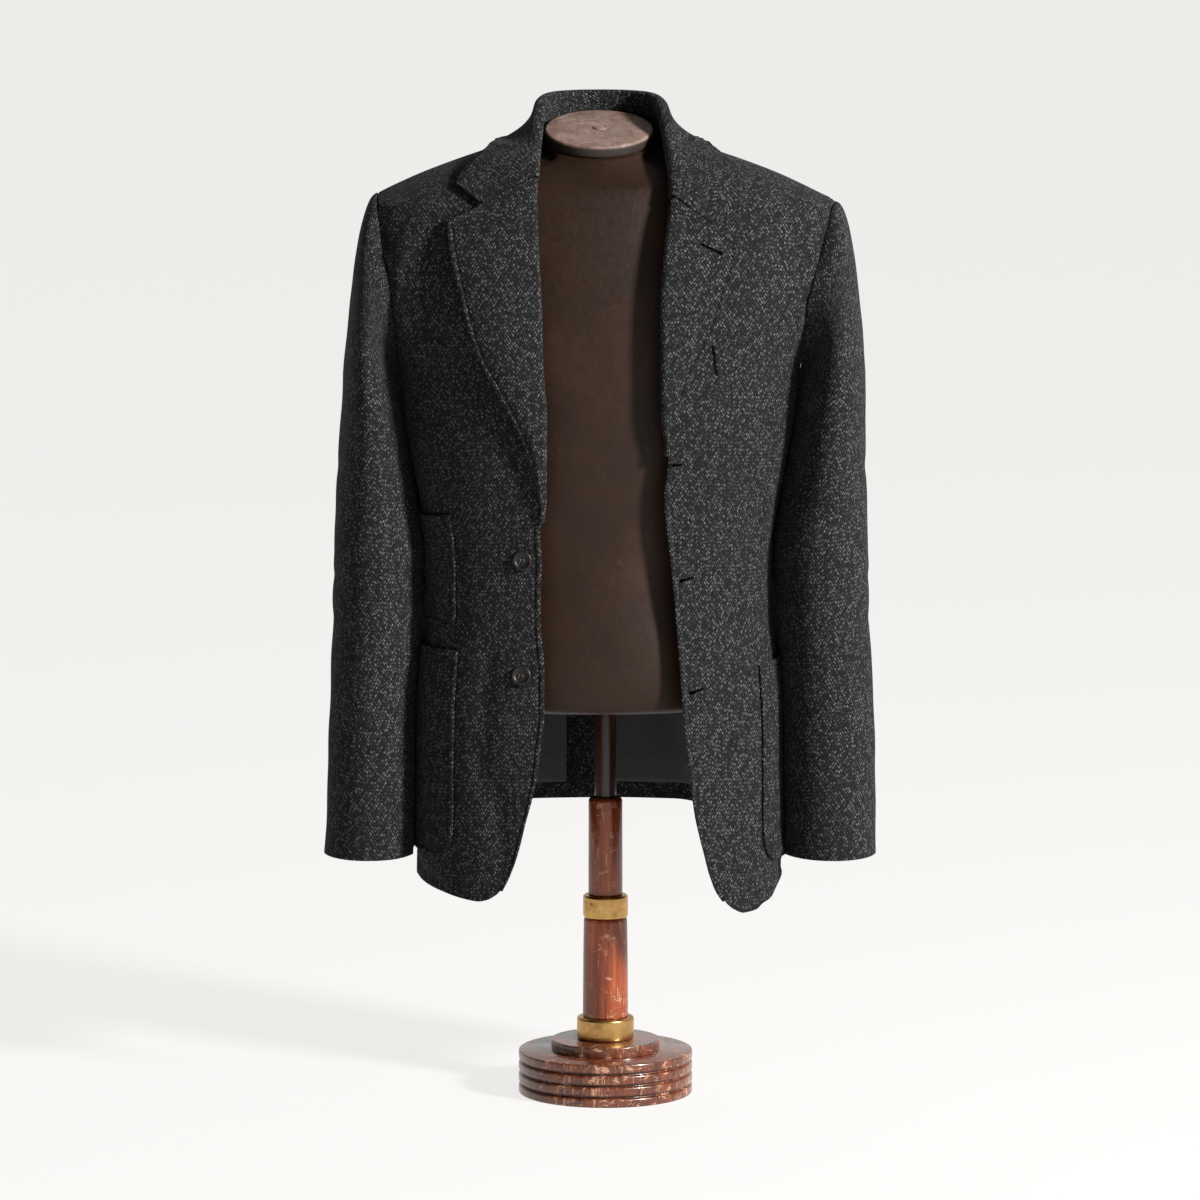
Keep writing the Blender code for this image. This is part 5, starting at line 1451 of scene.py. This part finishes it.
def build_buttons(horn, thread):
    """Turned buttons with four drilled holes, and the bars of thread across them."""
    for name, x, z in BUTTONS:
        seat = flat_point(RIGHT, x, z, FRONT, BUTTON_SEAT)
        out = Vector(unit(ring_slope(seat - COAT_CENTRE)))
        turn = out.to_track_quat("Z", "Y").to_matrix()
        disc = lathe(name + "_blank", rounded(BUTTON_PROFILE, 0.8, 3), horn, 64, seat, turn)
        places = [(a * HOLE_REACH, b * HOLE_REACH) for a in (-1, 1) for b in (-1, 1)]
        drills = []
        for place_x, place_y in places:
            middle = seat + np.array(turn @ Vector((place_x, place_y, 0)))
            drills.append(lathe("drill", [(0.8, 6), (0.8, -2)], horn, 16, middle, turn))
        drill = join("drills", drills)
        cut = disc.modifiers.new("holes", "BOOLEAN")
        cut.operation = "DIFFERENCE"
        cut.object = drill
        cut.solver = "EXACT"
        view = bpy.context.evaluated_depsgraph_get()
        mesh = bpy.data.meshes.new_from_object(disc.evaluated_get(view))
        bpy.data.objects.remove(disc)
        bpy.data.objects.remove(drill)
        finish_piece(put(name + "_turned", mesh), "horn", name)
        bars = []
        for across in (-1, 1):
            for spread_out in (-0.28, 0.28):
                arch = []
                for share in np.linspace(-1, 1, 9):
                    local = Vector((across * HOLE_REACH + spread_out, share * HOLE_REACH,
                                    2.15 + 0.55 * math.cos(0.5 * math.pi * share)
                                    - 1.4 * abs(share) ** 6))
                    arch.append(seat + np.array(turn @ local))
                bars.append(tube("bar", arch, 0.3, thread))
        finish_piece(join(name + "_thread", bars), "cloth")


# ---------------------------------------------------------------- form and stand
FORM_CENTRE_X = -6.5
CAP_TILT = 15.4
CAP_CENTRE_Z = 973
CAP_RADIUS = 54.3
CAP_THICKNESS = 13
NECK_RADIUS = 53
SEAT_SLACK = {FRONT: 10, BACK: 3.5}


def build_form(cover, cap_wood):
    """The torso up to its neck, smoothed where the chest meets the seat, and the cap."""
    turn = np.linspace(0, 2 * np.pi, 120, endpoint=False)
    side, cosine = np.sin(turn), np.cos(turn)

    def ring(width, front, back, z_of, shape=0.92):
        x = np.sign(side) * np.abs(side) ** shape * width
        y = -np.sign(cosine) * np.abs(cosine) ** shape * np.where(cosine > 0, front, back)
        return xyz(x + FORM_CENTRE_X, y, z_of(y))

    def seat(z):
        dip = THROAT_DIP * (z - SEAT_RINGS[0]) / (SEAT_RINGS[-1] - SEAT_RINGS[0])
        angle = np.where(turn <= np.pi, np.degrees(turn), 360 - np.degrees(turn))
        near = np.exp(-((angle - 90) / 12) ** 2)
        slack = np.where(angle < 90, SEAT_SLACK[FRONT], SEAT_SLACK[BACK])
        out = -(CLOTH + 0.6 + slack * (1 - near))
        level = z - dip * np.maximum(np.cos(np.radians(angle)), 0)
        return np.where((turn <= np.pi)[:, None], body_point(LEFT, angle, level, out),
                        body_point(RIGHT, angle, level, out))

    slope = math.tan(math.radians(CAP_TILT))
    top = CAP_CENTRE_Z - (CAP_THICKNESS + 0.1) / math.cos(math.radians(CAP_TILT))
    rings = [ring(width, front, back, lambda y, level=z: level + 0 * y)
             for z, width, front, back in FORM_SECTIONS]
    rings += [seat(z) for z in SEAT_RINGS]
    rings.append(ring(NECK_RADIUS + 2, 57, 57, lambda y: 951 + 0.27 * y, 1))
    rings.append(ring(NECK_RADIUS, 51.5, 51.5, lambda y: top + slope * y, 1))
    rings = through(np.array(rings), np.linspace(0, len(rings) - 1, 160))
    soft = rings.copy()
    for _ in range(70):
        soft[1:-1] = 0.25 * (soft[:-2] + soft[2:]) + 0.5 * soft[1:-1]
    chest = smooth_step(0.4, 0.8, cosine) * smooth_step(640, 720, rings[..., 2])
    rings = mix(rings, soft, chest[..., None])
    points = np.concatenate([rings.reshape(-1, 3), [rings[0].mean(0), rings[-1].mean(0)]])
    faces = ring_faces(*rings.shape[:2], up=True)
    finish_piece(make_mesh("form_torso_shell", points, faces, cover), "form_cover",
                 "form_torso")
    tilt = Matrix.Rotation(math.radians(CAP_TILT), 3, "X")
    cap = lathe("neck_cap_turned", rounded([
        (0.01, 0), (30, 0.15), (CAP_RADIUS - 1.2, -0.4), (CAP_RADIUS, -3.4),
        (CAP_RADIUS - 0.3, -CAP_THICKNESS + 2), (CAP_RADIUS - 1.9, -CAP_THICKNESS),
        (0.01, -CAP_THICKNESS)], 1.6), cap_wood, 120,
        (FORM_CENTRE_X, 0, CAP_CENTRE_Z), tilt)
    finish_piece(cap, "cap_wood", "neck_cap")
    plug = lathe("cap_plug_turned", rounded([
        (0.01, 1.3), (4.6, 1.25), (5.4, 0.7), (6.2, 1.5), (7.1, 1.1), (7.4, 0.1),
        (0.01, 0.05)], 0.5), cap_wood, 48,
        (FORM_CENTRE_X + 1.5, 0, CAP_CENTRE_Z), tilt)
    finish_piece(plug, "cap_wood", "cap_plug")


STAND = [
    # node, finish, slot, profile of (radius, height) from the top down
    ("rod", "dark_wood", "rod_wood", [(0.01, 395.8), (10.9, 395.8), (10.9, 301.2),
                                      (0.01, 301.2)]),
    ("upper_post", "wood", "stand_wood", [
        (0.01, 301), (12.5, 301), (15.2, 300.4), (17, 297.5), (17.2, 201.5),
        (0.01, 201.5)]),
    ("upper_ring", "brass", "brass", [
        (0.01, 201.4), (20.6, 201.4), (22.4, 200.2), (22.6, 198.4), (22.6, 181.4),
        (22.3, 179.4), (20.9, 178.4), (0.01, 178.4)]),
    ("lower_post", "wood", "stand_wood", [
        (0.01, 178.3), (20.6, 178.3), (21.8, 176), (22.4, 140), (22.8, 79),
        (22.6, 77.4), (0.01, 77.4)]),
    ("lower_ring", "brass", "brass", [
        (0.01, 77.2), (26.6, 77.2), (28.5, 75.8), (28.7, 73.4), (28.7, 58),
        (28.4, 55.6), (27, 54.5), (0.01, 54.5)]),
    ("step_disc", "base_wood", "stand_wood", [
        (0.01, 54.3), (53.8, 54.3), (54.6, 53.6), (54.6, 44), (54.2, 43.6),
        (0.01, 43.6)]),
]
BASE_RADIUS = 87.5
BASE_HEIGHT = 43.3
BASE_BANDS = 4
GROOVE_DEPTH = 3.8
GROOVE_HEIGHT = 3.2
BAND_BULGE = 0.7                # how far the bands' middles stand proud of their edges


def base_profile():
    """A turned disc whose edge has rounded bands parted by grooves."""
    band = (BASE_HEIGHT - GROOVE_HEIGHT * (BASE_BANDS - 1)) / BASE_BANDS
    points = [(0.01, BASE_HEIGHT)]
    top, edge = BASE_HEIGHT, BASE_RADIUS - BAND_BULGE
    for index in range(BASE_BANDS):
        for share in np.linspace(-1, 1, 9):
            bulge = BAND_BULGE * (1 - abs(share) ** 7)
            points.append((edge + bulge, top - 0.5 * band * (1 + share)))
        if index < BASE_BANDS - 1:
            points.append((edge - GROOVE_DEPTH, top - band - 0.4))
            points.append((edge - GROOVE_DEPTH, top - band - GROOVE_HEIGHT + 0.4))
        top -= band + GROOVE_HEIGHT
    return points + [(BASE_RADIUS - 4.5, 0), (0.01, 0)]


def build_stand(finishes):
    for node, finish, slot, profile in STAND:
        piece = lathe(node + "_turned", rounded(profile, 1.2), finishes[finish])
        finish_piece(piece, slot, node)
    base = lathe("base_disc_turned", rounded(base_profile(), 0.35, 2),
                 finishes["base_wood"], 160)
    finish_piece(base, "stand_wood", "base_disc")


# ---------------------------------------------------------------- studio
CAMERA_PLACE = (-0.0055, -8, 1.64)
AIM_HEIGHT = 0.50
LENS_MM = 242.4
DIM_SKY = 0.03                  # the sky's light from the dark side and the lit side
BRIGHT_SKY = 0.3
BACK_SKY = 0.6                  # more of it straight behind
KEY_WATTS = 600
KEY_PLACE = (3.75, -2.95, 2.75)
KEY_AIM = Vector((0, 0, 0.7))


def build_studio():
    paper = Finish("pale_floor", 0.95, Specular_IOR_Level=0, Emission_Strength=0.81)
    paper.shader.inputs["Base Color"].default_value = (0.13, 0.13, 0.13, 1)
    paper.shader.inputs["Emission Color"].default_value = (1, 0.985, 0.965, 1)
    half = 40000
    floor = make_mesh("floor", [(-half, -half, 0), (half, -half, 0), (half, half, 0),
                                (-half, half, 0)], [(0, 1, 2, 3)], paper.material)
    world = bpy.data.worlds.new("studio")
    bpy.context.scene.world = world
    world.use_nodes = True
    tree = world.node_tree
    coords, way, glow, behind, total = (tree.nodes.new("ShaderNode" + kind) for kind in (
        "TexCoord", "SeparateXYZ", "MapRange", "MapRange", "Math"))
    glow.interpolation_type = "SMOOTHSTEP"
    for socket, value in ((1, -1), (2, 1), (3, DIM_SKY), (4, BRIGHT_SKY)):
        glow.inputs[socket].default_value = value
    behind.inputs[4].default_value = BACK_SKY
    sky = tree.nodes["Background"]
    sky.inputs["Color"].default_value = (1, 0.995, 0.985, 1)
    for start, out, end, into in (
            (coords, "Generated", way, 0), (way, 0, glow, 0), (way, 1, behind, 0),
            (glow, 0, total, 0), (behind, 0, total, 1), (total, 0, sky, "Strength")):
        tree.links.new(start.outputs[out], end.inputs[into])
    lamp = bpy.data.lights.new("key", "AREA")
    lamp.shape = "DISK"
    lamp.size = 0.8
    lamp.energy = KEY_WATTS
    key = put("key", lamp)
    key.location = KEY_PLACE
    key.rotation_euler = (KEY_AIM - Vector(KEY_PLACE)).to_track_quat("-Z", "Y").to_euler()
    camera = bpy.data.cameras.new("camera")
    camera.lens = LENS_MM
    camera.sensor_width = 36
    eye = put("camera", camera)
    eye.location = CAMERA_PLACE
    pitch = math.atan2(CAMERA_PLACE[2] - AIM_HEIGHT, -CAMERA_PLACE[1])
    eye.rotation_euler = (0.5 * math.pi - pitch, 0, 0)
    bpy.context.scene.camera = eye
    bpy.context.scene.view_settings.view_transform = "Standard"


def main():
    tweed = tweed_finish("charcoal_tweed", (0.0075, 0.007, 0.0073),
                         (0.03, 0.029, 0.03), (0.105, 0.105, 0.107))
    lining, thread = lining_finish(), thread_finish("dark_thread", 0.004, 0.02)
    pale_thread = thread_finish("grey_thread", 0.03, 0.12)
    made = build_coat(tweed, lining, thread)
    build_buttons(horn_finish(), pale_thread)
    build_form(cover_finish(), wood_finish("dusty_cap_wood_painted_rim_shade", (0.12, 0.066, 0.048),
                                           (0.21, 0.135, 0.105), (0.3, 0.21, 0.17), 0.6,
                                           0, 0.25, tilt=math.radians(CAP_TILT)))
    finishes = {
        "wood": wood_finish("mahogany", (0.08, 0.012, 0.003), (0.23, 0.037, 0.007),
                            (0.4, 0.088, 0.02), 0.3, 0.12, 0.9, 0.6),
        "base_wood": wood_finish("worn_mahogany", (0.055, 0.011, 0.004),
                                 (0.13, 0.027, 0.008), (0.22, 0.057, 0.019), 0.3, 0.5, 0.9,
                                 0.585),
        "dark_wood": wood_finish("dark_mahogany", (0.012, 0.0045, 0.003),
                                 (0.036, 0.011, 0.0055), (0.075, 0.022, 0.01), 0.34, 0.15,
                                 0.5),
        "brass": brass_finish(),
    }
    build_stand(finishes)
    build_studio()


main()
